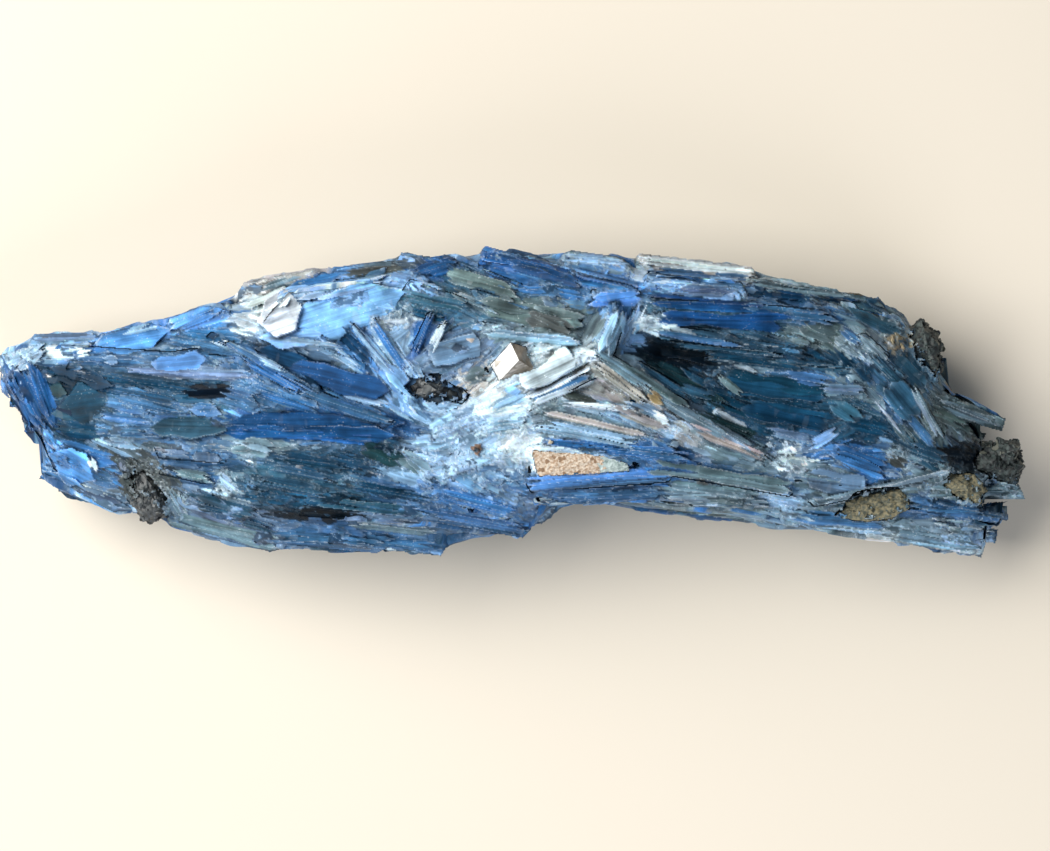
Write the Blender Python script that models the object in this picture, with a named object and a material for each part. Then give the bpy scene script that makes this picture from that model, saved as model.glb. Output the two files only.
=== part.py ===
"""Kyanite blade cluster: one intergrown mass of flat blue blades, with other minerals in its pockets.

Run it with: blender --background --python part.py
Units are metres and +Z is up. The specimen lies on its flat broken face, with its long side along X.

The shape is laid out on a chart, a grid over the specimen seen from above. One chart step is 0.15 mm, x runs
along the specimen from its blunt end, and y runs across it from the far side to the near side. A blade is
given by the chart points of its two ends, its width in chart steps, and its level in millimetres above the
body's surface.
"""

import math
import random
from typing import NamedTuple

import bmesh
import bpy
from mathutils import Matrix, Vector, noise

# Driving dimensions
STEP = 0.00015  # metres in one chart step
MM = 0.001
CHART_CENTRE = (511.5, 403.0)  # the chart point over the origin
SECTION_POINTS = 12  # corners of each cross-section of the body
SECTION_POWER = 2.3  # 2 gives round cross-sections, higher ones are squarer
BODY_INSET = 5.0  # chart steps that the blades reach past the body's own edge
BODY_ROUGHNESS = 0.5 * MM  # how far the body's corners stray from its smooth form
FIT_GAP = 0.4 * MM  # clearance round each grain in its pocket
POCKET_RISE = 9.0 * MM  # how far a pocket's cutter reaches up past its grain, so that the pocket is open
GRAIN_LUMPS = 2.6  # lumps across a grain
CORE_HEIGHT = 11.0 * MM  # height of the body's core, which the flank blades face away from
TABLE_SLAB = (0.3, 0.2, 0.02)  # the slab that cuts the flat face
SEED = 11

# Blades, with sizes as shares of their own width or thickness
TOP_THINNEST, TOP_THICKNESS = 2.2 * MM, 0.55
TOP_SUNK = 0.42  # how much of a charted blade's thickness lies below its level
FLANK_THINNEST, FLANK_THICKNESS = 2.4 * MM, 0.6
SPAR_THINNEST, SPAR_THICKNESS, SPAR_THICKEST = 2.4 * MM, 0.6, 3.6 * MM
FIRST_END_WIDTH, FAR_END_WIDTH = 0.94, 0.72
BLADE_SLANT = 0.5  # how far an end may slant, either way
BLADE_NARROWING = (0.55, 0.8)
BLADE_SET_BACK = (0.5, 1.1)  # how far the narrowed face stops short of the far end
SPAR_TILT = 0.5  # how far a free blade's upper face may lean sideways, either way

# Blades on the flanks and the underside
FLANK_ROWS = 8
FLANK_STATIONS = 6
FLANK_LENGTH = (20.0 * MM, 35.0 * MM)
FLANK_WIDTH = (4.2 * MM, 8.2 * MM)
FLANK_FIRST, FLANK_LAST = -205.0, 25.0  # degrees round the body, from the far side under to the near side
FLANK_LEVEL = (-0.2 * MM, 0.9 * MM)  # how far a blade's outer face stands off the body
FLANK_SWING = 0.12  # radians round the body from a blade's middle to either end, at most
FLANK_BRIDGE = 0.5 * MM  # how far a blade's chord may stand off the body, where the side is hollow
SHORTEST_REACH = 25.0  # chart steps from such a blade's middle to its end, at least


class Section(NamedTuple):
    """One cross-section of the body: chart x, far and near edge in chart y, then heights in millimetres."""

    x: float
    far: float
    near: float
    crest: float
    rim: float
    keel: float


class Blade(NamedTuple):
    """One flat crystal, from the chart point (x0, y0) to (x1, y1)."""

    x0: float
    y0: float
    x1: float
    y1: float
    width: float
    level: float = 0.6


class Spar(NamedTuple):
    """A blade that ends in the air: the chart points of its ends, its width, and the ends' heights in mm."""

    x0: float
    y0: float
    x1: float
    y1: float
    width: float
    height0: float
    height1: float


class Hollow(NamedTuple):
    """A dip in the body's upper surface, or with a negative depth a swelling."""

    x: float
    y: float
    length: float
    width: float
    turn: float
    depth: float


class Grain(NamedTuple):
    """A lump of another mineral: its chart place, and its size in millimetres along, across and high.

    It turns by degrees about the vertical, its middle sinks millimetres below the body's surface, and its
    far end is narrowed by the taper. Fineness 0 is a six-sided block, and higher ones have more facets.
    """

    x: float
    y: float
    size: tuple
    turn: float
    sink: float
    rough: float
    fineness: int
    taper: float = 0.0


SECTIONS = (
    Section(3, 353, 399, 13.0, 9.0, 6.5),
    Section(22, 345, 421, 17.5, 9.5, 5.0),
    Section(43, 337, 440, 18.8, 9.5, 4.4),
    Section(56, 336, 486, 19.4, 9.8, 4.0),
    Section(80, 337, 498, 20.5, 10.0, 3.4),
    Section(135, 327, 512, 22.0, 10.5, 3.0),
    Section(200, 307, 528, 24.5, 11.0, 2.4),
    Section(255, 287, 543, 27.5, 12.0, 2.0),
    Section(320, 274, 551, 28.5, 12.0, 2.6),
    Section(385, 268, 549, 28.5, 12.5, 2.0),
    Section(450, 258, 541, 29.5, 13.0, 1.8),
    Section(510, 252, 534, 31.0, 13.0, 2.4),
    Section(534, 253, 531, 31.2, 12.8, 2.2),
    Section(546, 253, 506, 31.5, 12.5, 2.0),
    Section(610, 256, 501, 31.0, 12.0, 1.9),
    Section(675, 262, 513, 29.5, 12.5, 2.4),
    Section(740, 270, 516, 28.0, 12.0, 1.9),
    Section(795, 285, 529, 27.0, 11.5, 2.6),
    Section(850, 295, 536, 25.5, 11.0, 2.8),
    Section(895, 308, 542, 23.0, 10.5, 3.4),
    Section(925, 338, 546, 21.5, 10.0, 4.0),
    Section(950, 386, 548, 19.0, 9.5, 4.6),
    Section(982, 440, 540, 15.5, 9.0, 5.6),
)

HOLLOWS = (
    Hollow(665, 354, 62, 17, -10, 6.0),  # the deep slot under the far ridge
    Hollow(765, 398, 105, 36, -12, 3.0),  # the trough of big dark blades
    Hollow(440, 391, 34, 18, -15, 3.4),  # the pocket of mica
    Hollow(330, 374, 70, 17, -17, 2.4),  # between the sweep and the pale facet
    Hollow(150, 492, 34, 24, -60, 2.2),  # the pocket on the near side
    Hollow(880, 500, 62, 18, 8, 2.4),  # the stained hollow under the spar
    Hollow(300, 462, 90, 20, -6, 1.2),
    Hollow(85, 402, 34, 22, 0, 1.0),
    Hollow(340, 306, 60, 26, 10, -1.6),  # the swelling under the pale facet
    Hollow(655, 412, 95, 24, -32, -1.8),  # the ridge of splayed blades
    Hollow(610, 332, 22, 30, 70, -1.6),  # the spur
    Hollow(725, 302, 100, 26, -5, -1.4),  # the far ridge
    Hollow(500, 500, 40, 24, -20, -0.8),
    Hollow(925, 440, 30, 30, 0, 1.4),
)

# Blades that show from above, one group for each spray
BLUNT_END = (
    Blade(10, 370, 46, 432, 26, 0.4),
    Blade(30, 362, 58, 428, 22, 0.7),
    Blade(4, 372, 62, 342, 24, 0.5),
    Blade(30, 343, 112, 340, 16, 0.2),
    Blade(50, 396, 118, 403, 44, 0.3),
    Blade(46, 460, 132, 508, 34, 0.3),
    Blade(58, 449, 150, 476, 26, 0.6),
    Blade(98, 346, 172, 328, 26, 0.7),
    Blade(60, 425, 118, 440, 16, 0.6),
)
FAR_LEFT = (
    Blade(168, 332, 236, 306, 28, 0.5),
    Blade(62, 353, 242, 364, 15, 1.3),
    Blade(70, 367, 262, 376, 13, 0.8),
    Blade(154, 364, 214, 353, 18, 1.7),
    Blade(78, 377, 194, 408, 17, 0.4),
    Blade(100, 374, 238, 389, 17, 0.5),
    Blade(116, 402, 232, 414, 20, 0.3),
    Blade(94, 416, 168, 425, 19, 0.7),
    Blade(106, 431, 238, 432, 22, 0.9),
    Blade(238, 294, 338, 274, 22, 0.4),
    Blade(332, 277, 412, 267, 12, 0.0),
)
SWEEP = (
    Blade(214, 424, 408, 434, 18, 1.3),
    Blade(232, 344, 332, 398, 15, 1.4),
    Blade(210, 336, 300, 376, 13, 0.9),
    Blade(300, 390, 404, 428, 18, 1.0),
    Blade(250, 378, 334, 412, 16, 0.8),
    Blade(258, 350, 324, 369, 18, 0.4),
    Blade(296, 371, 392, 392, 26, 0.6),
    Blade(262, 318, 408, 296, 50, 1.2),
    Blade(264, 337, 348, 346, 14, 1.2),
    Blade(318, 340, 396, 372, 16, 1.0),
    Blade(352, 328, 398, 380, 14, 1.2),
    Blade(374, 320, 412, 374, 11, 1.3),
    Blade(386, 372, 426, 416, 18, 0.8),
)
NEAR_LEFT = (
    Blade(160, 451, 240, 458, 14, 1.2),
    Blade(180, 441, 280, 449, 16, 0.9),
    Blade(164, 466, 218, 479, 13, 0.9),
    Blade(180, 493, 264, 519, 18, 0.6),
    Blade(165, 514, 292, 547, 22, 0.2),
    Blade(254, 531, 400, 546, 24, 0.2),
    Blade(330, 534, 448, 548, 14, 0.7),
    Blade(250, 478, 352, 500, 17, 0.8),
    Blade(300, 505, 432, 516, 18, 0.7),
    Blade(340, 478, 446, 500, 15, 0.9),
    Blade(278, 454, 356, 470, 14, 0.7),
    Blade(400, 506, 531, 530, 20, 0.7),
    Blade(420, 484, 520, 514, 17, 1.0),
    Blade(375, 440, 455, 462, 18, 0.6),
    Blade(214, 486, 300, 500, 14, 0.6),
)
CROWN = (
    Blade(418, 354, 436, 312, 12, 1.2),
    Blade(430, 358, 450, 322, 11, 1.1),
    Blade(424, 360, 484, 345, 36, 0.8),
    Blade(404, 288, 482, 314, 20, 0.8),
    Blade(438, 264, 532, 300, 26, 0.8),
    Blade(478, 257, 592, 287, 26, 0.9),
    Blade(468, 300, 586, 330, 25, 1.0),
    Blade(480, 331, 582, 346, 19, 0.9),
    Blade(558, 259, 638, 269, 20, 0.4),
    Blade(556, 279, 642, 299, 19, 0.8),
    Blade(600, 359, 622, 304, 25, 1.4),
    Blade(584, 302, 642, 293, 18, 1.3),
    Blade(396, 262, 470, 272, 18, 0.4),
)
HEART = (
    Blade(516, 393, 588, 357, 18, 2.0),
    Blade(524, 407, 594, 373, 17, 1.7),
    Blade(470, 416, 538, 398, 18, 1.1),
    Blade(478, 433, 532, 424, 14, 1.0),
    Blade(430, 436, 486, 416, 18, 0.7),
    Blade(440, 470, 520, 446, 26, 0.6),
    Blade(470, 486, 540, 470, 18, 0.8),
    Blade(584, 350, 690, 414, 17, 1.6),
    Blade(590, 362, 726, 434, 14, 1.2),
    Blade(600, 372, 668, 414, 16, 1.3),
    Blade(556, 398, 644, 412, 15, 1.3),
    Blade(538, 409, 664, 438, 17, 1.3),
    Blade(536, 426, 686, 450, 18, 1.1),
    Blade(680, 412, 770, 461, 21, 1.0),
    Blade(538, 444, 692, 462, 13, 0.9),
    Blade(524, 483, 674, 472, 15, 1.3),
    Blade(534, 495, 664, 492, 18, 0.4),
)
FAR_RIGHT = (
    Blade(634, 264, 762, 278, 20, 0.4),
    Blade(638, 284, 750, 294, 20, 1.1),
    Blade(638, 312, 834, 321, 29, 0.9),
    Blade(738, 286, 892, 310, 21, 0.5),
    Blade(798, 306, 908, 332, 20, 0.6),
    Blade(652, 334, 806, 352, 12, 1.2),
    Blade(690, 352, 872, 373, 14, 0.8),
    Blade(700, 384, 834, 401, 34, 0.2),
    Blade(690, 402, 824, 434, 26, 0.2),
    Blade(624, 364, 722, 420, 17, 0.4),
    Blade(712, 370, 740, 398, 11, 1.4),
    Blade(796, 384, 864, 393, 13, 1.0),
    Blade(836, 342, 902, 386, 18, 0.8),
    Blade(850, 334, 888, 366, 12, 1.2),
    Blade(878, 384, 936, 446, 24, 0.9),
    Blade(906, 388, 940, 442, 11, 1.4),
    Blade(828, 408, 904, 428, 24, 0.6),
    Blade(744, 430, 836, 452, 18, 0.7),
)
NEAR_RIGHT = (
    Blade(638, 461, 792, 489, 16, 1.5),
    Blade(648, 488, 764, 500, 25, 0.5),
    Blade(818, 448, 890, 473, 20, 1.4),
    Blade(804, 500, 950, 470, 9, 1.8),
    Blade(768, 468, 872, 481, 18, 0.8),
    Blade(776, 512, 902, 531, 20, 0.5),
    Blade(858, 526, 986, 549, 20, 0.3),
    Blade(918, 505, 1002, 520, 16, 0.8),
    Blade(936, 398, 1004, 426, 21, 0.4),
    Blade(880, 446, 944, 464, 20, 0.7),
)
BROKEN_END = (
    Spar(880, 352, 943, 366, 26, 13.0, 11.0),
    Spar(884, 334, 926, 338, 20, 9.5, 9.0),
    Spar(908, 398, 1003, 425, 20, 13.5, 12.5),
    Spar(900, 392, 958, 402, 26, 7.5, 7.0),
    Spar(915, 428, 984, 441, 24, 9.0, 7.0),
    Spar(925, 452, 1006, 458, 22, 15.0, 11.5),
    Spar(925, 474, 1018, 484, 24, 7.5, 5.5),
    Spar(915, 492, 1022, 492, 20, 12.5, 11.5),
    Spar(925, 508, 1009, 513, 22, 8.5, 8.0),
    Spar(912, 524, 1000, 537, 22, 6.0, 4.5),
    Spar(905, 520, 984, 552, 20, 10.5, 8.5),
)
FIRST_END = (
    Spar(60, 376, 5, 372, 30, 10.0, 9.0),
    Spar(72, 402, 8, 398, 26, 6.5, 6.5),
    Spar(76, 424, 28, 424, 24, 10.0, 9.0),
    Spar(108, 478, 44, 468, 34, 9.5, 8.5),
    Spar(120, 496, 58, 484, 24, 5.5, 5.0),
)
FEET = (
    Spar(330, 392, 700, 402, 74, 1.4, 1.2),
    Spar(210, 452, 420, 476, 44, 1.6, 1.3),
    Spar(640, 436, 842, 458, 42, 1.2, 1.8),
    Spar(610, 338, 812, 362, 40, 1.3, 1.8),
    Spar(170, 392, 372, 352, 42, 2.0, 1.4),
    Spar(470, 452, 600, 440, 38, 1.2, 1.3),
)
TOP_BLADES = BLUNT_END + FAR_LEFT + SWEEP + NEAR_LEFT + CROWN + HEART + FAR_RIGHT + NEAR_RIGHT

GRAINS = {
    "mica_pocket_centre": Grain(438, 391, (9.8, 5.2, 4.6), -14, 0.4, 0.9, 2),
    "mica_pocket_near": Grain(151, 491, (9.2, 5.4, 5.0), -62, 0.4, 0.9, 2),
    "quartz_chip": Grain(506, 362, (5.4, 3.4, 5.0), 55, 0.0, 0.15, 0, 0.4),
    "stained_wedge": Grain(578, 462, (14.4, 3.4, 3.6), -2, 0.6, 0.08, 0, 0.8),
    "ochre_pocket": Grain(872, 502, (11.0, 4.8, 4.2), 9, 0.5, 0.6, 2),
    "ochre_patch": Grain(962, 486, (7.4, 4.4, 4.2), -12, 0.4, 0.7, 2),
    "schist_rind_far": Grain(924, 350, (5.4, 9.6, 12.0), 22, 2.8, 0.9, 2),
    "schist_rind_end": Grain(1002, 461, (7.8, 6.0, 8.6), -14, 2.4, 0.9, 2),
}

KYANITE = ("kyanite", (0.10, 0.23, 0.40, 1.0), 0.32)
GRAIN_MATERIALS = {
    "mica_pocket_centre": ("biotite_mica", (0.035, 0.032, 0.030, 1.0), 0.45),
    "mica_pocket_near": ("biotite_mica", (0.035, 0.032, 0.030, 1.0), 0.45),
    "quartz_chip": ("milky_quartz", (0.78, 0.80, 0.80, 1.0), 0.20),
    "stained_wedge": ("iron_stained_feldspar", (0.62, 0.45, 0.29, 1.0), 0.55),
    "ochre_pocket": ("ochre_matrix", (0.27, 0.24, 0.15, 1.0), 0.75),
    "ochre_patch": ("ochre_matrix", (0.27, 0.24, 0.15, 1.0), 0.75),
    "schist_rind_far": ("mica_schist", (0.030, 0.034, 0.034, 1.0), 0.65),
    "schist_rind_end": ("mica_schist", (0.030, 0.034, 0.034, 1.0), 0.65),
}


def from_chart(x, y, height):
    """The point over a chart place, at a height in metres."""
    return Vector(((x - CHART_CENTRE[0]) * STEP, (CHART_CENTRE[1] - y) * STEP, height))


def section_at(x):
    """The body's cross-section at any chart x, between the listed ones."""
    if x <= SECTIONS[0].x:
        return SECTIONS[0]
    for before, after in zip(SECTIONS, SECTIONS[1:]):
        if x <= after.x:
            share = (x - before.x) / (after.x - before.x)
            return Section(*(a + (b - a) * share for a, b in zip(before, after)))
    return SECTIONS[-1]


def dip_at(x, y):
    """How far the hollows lower the upper surface at a chart place, in millimetres."""
    total = 0.0
    for hollow in HOLLOWS:
        turn = math.radians(hollow.turn)
        along = (x - hollow.x) * math.cos(turn) - (y - hollow.y) * math.sin(turn)
        across = (x - hollow.x) * math.sin(turn) + (y - hollow.y) * math.cos(turn)
        total += hollow.depth * math.exp(-((along / hollow.length) ** 2) - (across / hollow.width) ** 2)
    return total


def dome(side, power=SECTION_POWER):
    """Height of a unit dome at side, which is 0 in its middle and 1 at its edge."""
    return max(0.0, 1.0 - abs(side) ** power) ** (1.0 / power)


def upper_height(x, y):
    """Height of the body's upper surface over a chart place, in metres."""
    section = section_at(x)
    middle = (section.far + section.near) / 2
    half = (section.near - section.far) / 2
    side = min(0.97, abs(y - middle) / half)
    return (section.rim + (section.crest - section.rim) * dome(side) - dip_at(x, y)) * MM


def upper_normal(x, y, reach=6.0):
    """The direction that the upper surface faces over a chart place."""
    along = from_chart(x + reach, y, upper_height(x + reach, y)) - from_chart(
        x - reach, y, upper_height(x - reach, y)
    )
    across = from_chart(x, y - reach, upper_height(x, y - reach)) - from_chart(
        x, y + reach, upper_height(x, y + reach)
    )
    return along.cross(across).normalized()


def girdle_point(section, angle):
    """A point of the body's surface: angle is 0 at the near edge and a quarter turn at the crest."""
    middle = (section.far + section.near) / 2
    half = (section.near - section.far) / 2 - BODY_INSET
    squareness = 2.0 / SECTION_POWER
    side = math.copysign(abs(math.cos(angle)) ** squareness, math.cos(angle))
    rise = math.copysign(abs(math.sin(angle)) ** squareness, math.sin(angle))
    y = middle + half * side
    if rise >= 0:
        height = section.rim + (section.crest - section.rim) * rise - dip_at(section.x, y)
    else:
        height = section.rim + (section.rim - section.keel) * rise
    return from_chart(section.x, y, height * MM)


def new_collection(name):
    """A collection of that name in the scene."""
    made = bpy.data.collections.new(name)
    bpy.context.scene.collection.children.link(made)
    return made


def new_object(name, mesh, collection):
    """A named object that holds the mesh, linked to the collection."""
    made = bpy.data.objects.new(name, mesh)
    collection.objects.link(made)
    return made


def mesh_from(bm, name):
    """A mesh data block from a bmesh, with its faces pointing out."""
    bmesh.ops.recalc_face_normals(bm, faces=bm.faces)
    mesh = bpy.data.meshes.new(name)
    bm.to_mesh(mesh)
    bm.free()
    return mesh


def body_mesh(chance):
    """The lumpy body that the blades grow from, lofted through the cross-sections."""
    bm = bmesh.new()
    rings = []
    for section in SECTIONS:
        ring = []
        for corner in range(SECTION_POINTS):
            angle = 2 * math.pi * (corner + 0.5) / SECTION_POINTS
            stray = Vector([chance.uniform(-BODY_ROUGHNESS, BODY_ROUGHNESS) for _ in range(3)])
            ring.append(bm.verts.new(girdle_point(section, angle) + stray))
        rings.append(ring)
    for ring, following in zip(rings, rings[1:]):
        for corner in range(SECTION_POINTS):
            after = (corner + 1) % SECTION_POINTS
            bm.faces.new((ring[corner], ring[after], following[after], following[corner]))
    bm.faces.new(rings[0])
    bm.faces.new(reversed(rings[-1]))
    return mesh_from(bm, "body")


def blade_mesh(start, end, facing, width, thickness, chance, free=False):
    """One flat crystal with slanted ends, as a box whose upper face is smaller than its lower one.

    A free blade, which shows from below too, is narrowed both above and below its middle.
    """
    along = (end - start).normalized()
    across = facing.cross(along).normalized()
    up = along.cross(across).normalized()
    length = (end - start).length
    bm = bmesh.new()
    bmesh.ops.create_cube(bm, size=1.0)
    if free:
        uprights = [edge for edge in bm.edges if abs(edge.verts[0].co.z - edge.verts[1].co.z) > 0.5]
        bmesh.ops.subdivide_edges(bm, edges=uprights, cuts=1)
    slants = {sign: chance.uniform(-BLADE_SLANT, BLADE_SLANT) for sign in (-1, 1)}
    narrowing = chance.uniform(*BLADE_NARROWING)
    set_back = chance.uniform(*BLADE_SET_BACK) * width
    for vert in bm.verts:
        end_sign = -1 if vert.co.x < 0 else 1
        side_sign = -1 if vert.co.y < 0 else 1
        x = end_sign * length / 2 + slants[end_sign] * side_sign * width / 2
        y = side_sign * width / 2 * (FAR_END_WIDTH if end_sign > 0 else FIRST_END_WIDTH)
        if vert.co.z > 0.25 or (free and vert.co.z < -0.25):
            x -= end_sign * set_back * (0.5 if end_sign < 0 else 1.0)
            y *= narrowing
        vert.co = Vector((x, y, vert.co.z * thickness))
    placing = Matrix((along, across, up)).transposed().to_4x4()
    placing.translation = (start + end) / 2
    bmesh.ops.transform(bm, matrix=placing, verts=bm.verts)
    return mesh_from(bm, "blade")


def add_top_blades(collection, chance):
    """All the charted blades, lying on the upper surface and following it."""
    for number, blade in enumerate(TOP_BLADES):
        width = blade.width * STEP
        thickness = max(TOP_THINNEST, TOP_THICKNESS * width)
        lift = blade.level * MM - TOP_SUNK * thickness
        start = from_chart(blade.x0, blade.y0, upper_height(blade.x0, blade.y0) + lift)
        end = from_chart(blade.x1, blade.y1, upper_height(blade.x1, blade.y1) + lift)
        facing = upper_normal((blade.x0 + blade.x1) / 2, (blade.y0 + blade.y1) / 2)
        mesh = blade_mesh(start, end, facing, width, thickness, chance)
        as_helper(new_object(f"top_blade_{number:03d}", mesh, collection))


def add_spars(collection, chance):
    """The blades at the two ends, which stop at different lengths, and the ones that it lies on."""
    for number, spar in enumerate(BROKEN_END + FIRST_END + FEET):
        width = spar.width * STEP
        thickness = min(SPAR_THICKEST, max(SPAR_THINNEST, SPAR_THICKNESS * width))
        start = from_chart(spar.x0, spar.y0, spar.height0 * MM)
        end = from_chart(spar.x1, spar.y1, spar.height1 * MM)
        facing = Vector((0, chance.uniform(-SPAR_TILT, SPAR_TILT), 1))
        mesh = blade_mesh(start, end, facing, width, thickness, chance, free=True)
        as_helper(new_object(f"free_blade_{number:02d}", mesh, collection))


def chord(x, turn, swing, reach):
    """The two ends of a flank blade round chart x, drawn in where it would bridge a hollow side."""
    outward = (girdle_point(section_at(x), turn) - from_chart(x, CHART_CENTRE[1], CORE_HEIGHT)).normalized()
    while True:
        start = girdle_point(section_at(x - reach), turn - swing)
        end = girdle_point(section_at(x + reach), turn + swing)
        stands_off = 0.0
        for place in (-0.5, 0.0, 0.5):
            own = girdle_point(section_at(x + place * reach), turn + place * swing)
            bridged = start.lerp(end, (place + 1) / 2) - own
            stands_off = max(stands_off, bridged.dot(outward))
        if stands_off < FLANK_BRIDGE or reach < SHORTEST_REACH:
            return start, end
        reach *= 0.8


def add_flank_blades(collection, chance):
    """Blades all round the flanks and the underside, each on a chord of the body's surface."""
    first, last = SECTIONS[1].x, SECTIONS[-2].x
    for row in range(FLANK_ROWS):
        angle = math.radians(FLANK_FIRST + (FLANK_LAST - FLANK_FIRST) * row / (FLANK_ROWS - 1))
        for place in range(FLANK_STATIONS):
            share = (place + chance.uniform(0.2, 0.8)) / FLANK_STATIONS
            x = first + (last - first) * share
            reach = chance.uniform(*FLANK_LENGTH) / STEP / 2
            turn = angle + chance.uniform(-0.1, 0.1)
            swing = chance.uniform(-FLANK_SWING, FLANK_SWING)
            start, end = chord(x, turn, swing, reach)
            around = girdle_point(section_at(x), turn + 0.2) - girdle_point(section_at(x), turn - 0.2)
            outward = around.cross(end - start).normalized()
            if outward.dot(start + end - 2 * from_chart(x, CHART_CENTRE[1], CORE_HEIGHT)) < 0:
                outward.negate()
            width = chance.uniform(*FLANK_WIDTH)
            thickness = max(FLANK_THINNEST, FLANK_THICKNESS * width)
            lift = outward * (chance.uniform(*FLANK_LEVEL) - thickness / 2)
            mesh = blade_mesh(start + lift, end + lift, outward, width, thickness, chance)
            as_helper(new_object(f"flank_blade_{row}_{place}", mesh, collection))


def grain_mesh(name, grain, inset, rise=0.0):
    """A rough angular lump of another mineral, inset from its pocket's wall on all sides.

    With a rise its upper half is drawn up by that much, which makes the cutter for its pocket.
    """
    bm = bmesh.new()
    if grain.fineness:
        bmesh.ops.create_icosphere(bm, subdivisions=grain.fineness, radius=0.5)
    else:
        bmesh.ops.create_cube(bm, size=1.0)
    offset = Vector((len(name) * 3.1, grain.x * 0.01, grain.y * 0.01))
    size = [side * MM - 2 * inset for side in grain.size]
    for vert in bm.verts:
        bump = 1.0 + grain.rough * noise.noise(vert.co * GRAIN_LUMPS + offset)
        narrow = 1.0 - grain.taper * (vert.co.x + 0.5)
        shape = Vector((vert.co.x, vert.co.y * narrow, vert.co.z))
        vert.co = Vector([c * side * bump for c, side in zip(shape, size)])
        vert.co.z += rise if vert.co.z > 0 else 0.0
    middle = from_chart(grain.x, grain.y, upper_height(grain.x, grain.y) - grain.sink * MM)
    placing = Matrix.Translation(middle) @ Matrix.Rotation(math.radians(grain.turn), 4, "Z")
    bmesh.ops.transform(bm, matrix=placing, verts=bm.verts)
    return mesh_from(bm, name)


def cut_or_join(target, others, operation):
    """Joins a whole collection to the target, or cuts it away.

    The exact solver leaves open edges where this many blades cross, so the manifold one does it.
    """
    modifier = target.modifiers.new(f"{operation.lower()}_{others.name}", "BOOLEAN")
    modifier.operation = operation
    modifier.operand_type = "COLLECTION"
    modifier.collection = others
    modifier.solver = "MANIFOLD"


def keep_main_piece(made):
    """Turns an object's modifiers into its mesh, and drops the splinters that the Booleans cut loose."""
    graph = bpy.context.evaluated_depsgraph_get()
    mesh = bpy.data.meshes.new_from_object(made.evaluated_get(graph))
    made.modifiers.clear()
    made.data = mesh
    bm = bmesh.new()
    bm.from_mesh(mesh)
    bmesh.ops.triangulate(bm, faces=bm.faces)
    islands = []
    waiting = set(bm.faces)
    while waiting:
        island = [waiting.pop()]
        for face in island:
            for edge in face.edges:
                for other in edge.link_faces:
                    if other in waiting:
                        waiting.remove(other)
                        island.append(other)
        islands.append(island)
    islands.sort(key=len)
    splinters = [face for island in islands[:-1] for face in island]
    bmesh.ops.delete(bm, geom=splinters, context="FACES")
    bm.to_mesh(mesh)
    bm.free()


def table_top(collection):
    """A slab below z = 0, which cuts the flat face that the specimen lies on."""
    bm = bmesh.new()
    bmesh.ops.create_cube(bm, size=1.0)
    bmesh.ops.scale(bm, vec=TABLE_SLAB, verts=bm.verts)
    bmesh.ops.translate(bm, vec=(0, 0, -TABLE_SLAB[2] / 2), verts=bm.verts)
    return new_object("table_top", mesh_from(bm, "table_top"), collection)


def new_material(name, colour, roughness):
    """A plain Principled material of that colour and roughness."""
    made = bpy.data.materials.get(name) or bpy.data.materials.new(name)
    made.use_nodes = True
    shader = made.node_tree.nodes["Principled BSDF"]
    shader.inputs["Base Color"].default_value = colour
    shader.inputs["Roughness"].default_value = roughness
    shader.inputs["Metallic"].default_value = 0.0
    return made


def as_helper(made):
    """Marks an object as a cutter, which isn't part of the specimen."""
    made.hide_render = True
    made.display_type = "WIRE"
    return made


def main():
    """Builds the specimen."""
    for old in list(bpy.data.objects):
        bpy.data.objects.remove(old)
    specimen = new_collection("kyanite_blade_cluster")
    blades = new_collection("blades")
    cutters = new_collection("cutters")
    chance = random.Random(SEED)

    cluster = new_object("kyanite_blades", body_mesh(chance), specimen)
    cluster.data.materials.append(new_material(*KYANITE))
    add_flank_blades(blades, chance)
    add_top_blades(blades, chance)
    add_spars(blades, chance)
    as_helper(table_top(cutters))
    for name, grain in GRAINS.items():
        as_helper(new_object(f"pocket_{name}", grain_mesh(name, grain, 0.0), cutters))
        as_helper(new_object(f"mouth_{name}", grain_mesh(name, grain, 0.0, POCKET_RISE), cutters))
        lump = new_object(name, grain_mesh(name, grain, FIT_GAP), specimen)
        lump.data.materials.append(new_material(*GRAIN_MATERIALS[name]))
    cut_or_join(cluster, blades, "UNION")
    cut_or_join(cluster, cutters, "DIFFERENCE")
    keep_main_piece(cluster)


main()
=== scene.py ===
"""Looks of a kyanite blade cluster: fine laths, grains of other minerals, a table and soft light.

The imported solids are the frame, in metres with +Z up. The solid of the fused blades gives way to a core and
two skins of thousands of thin laths that lie over it. Places are given on a chart, a grid over the specimen
seen from above: one chart step is 0.15 mm, x runs along the specimen, and y runs across it from the far side
to the near side. A blade is a large crystal with a place of its own, and a lath is a thin one in a skin.
"""

import logging
import math
from dataclasses import dataclass, field
from enum import Enum
from typing import Iterable, NamedTuple, Optional, Sequence, Union

import bmesh
import bpy
import numpy as np
from mathutils import Matrix, Vector, noise
from mathutils.bvhtree import BVHTree


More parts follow.
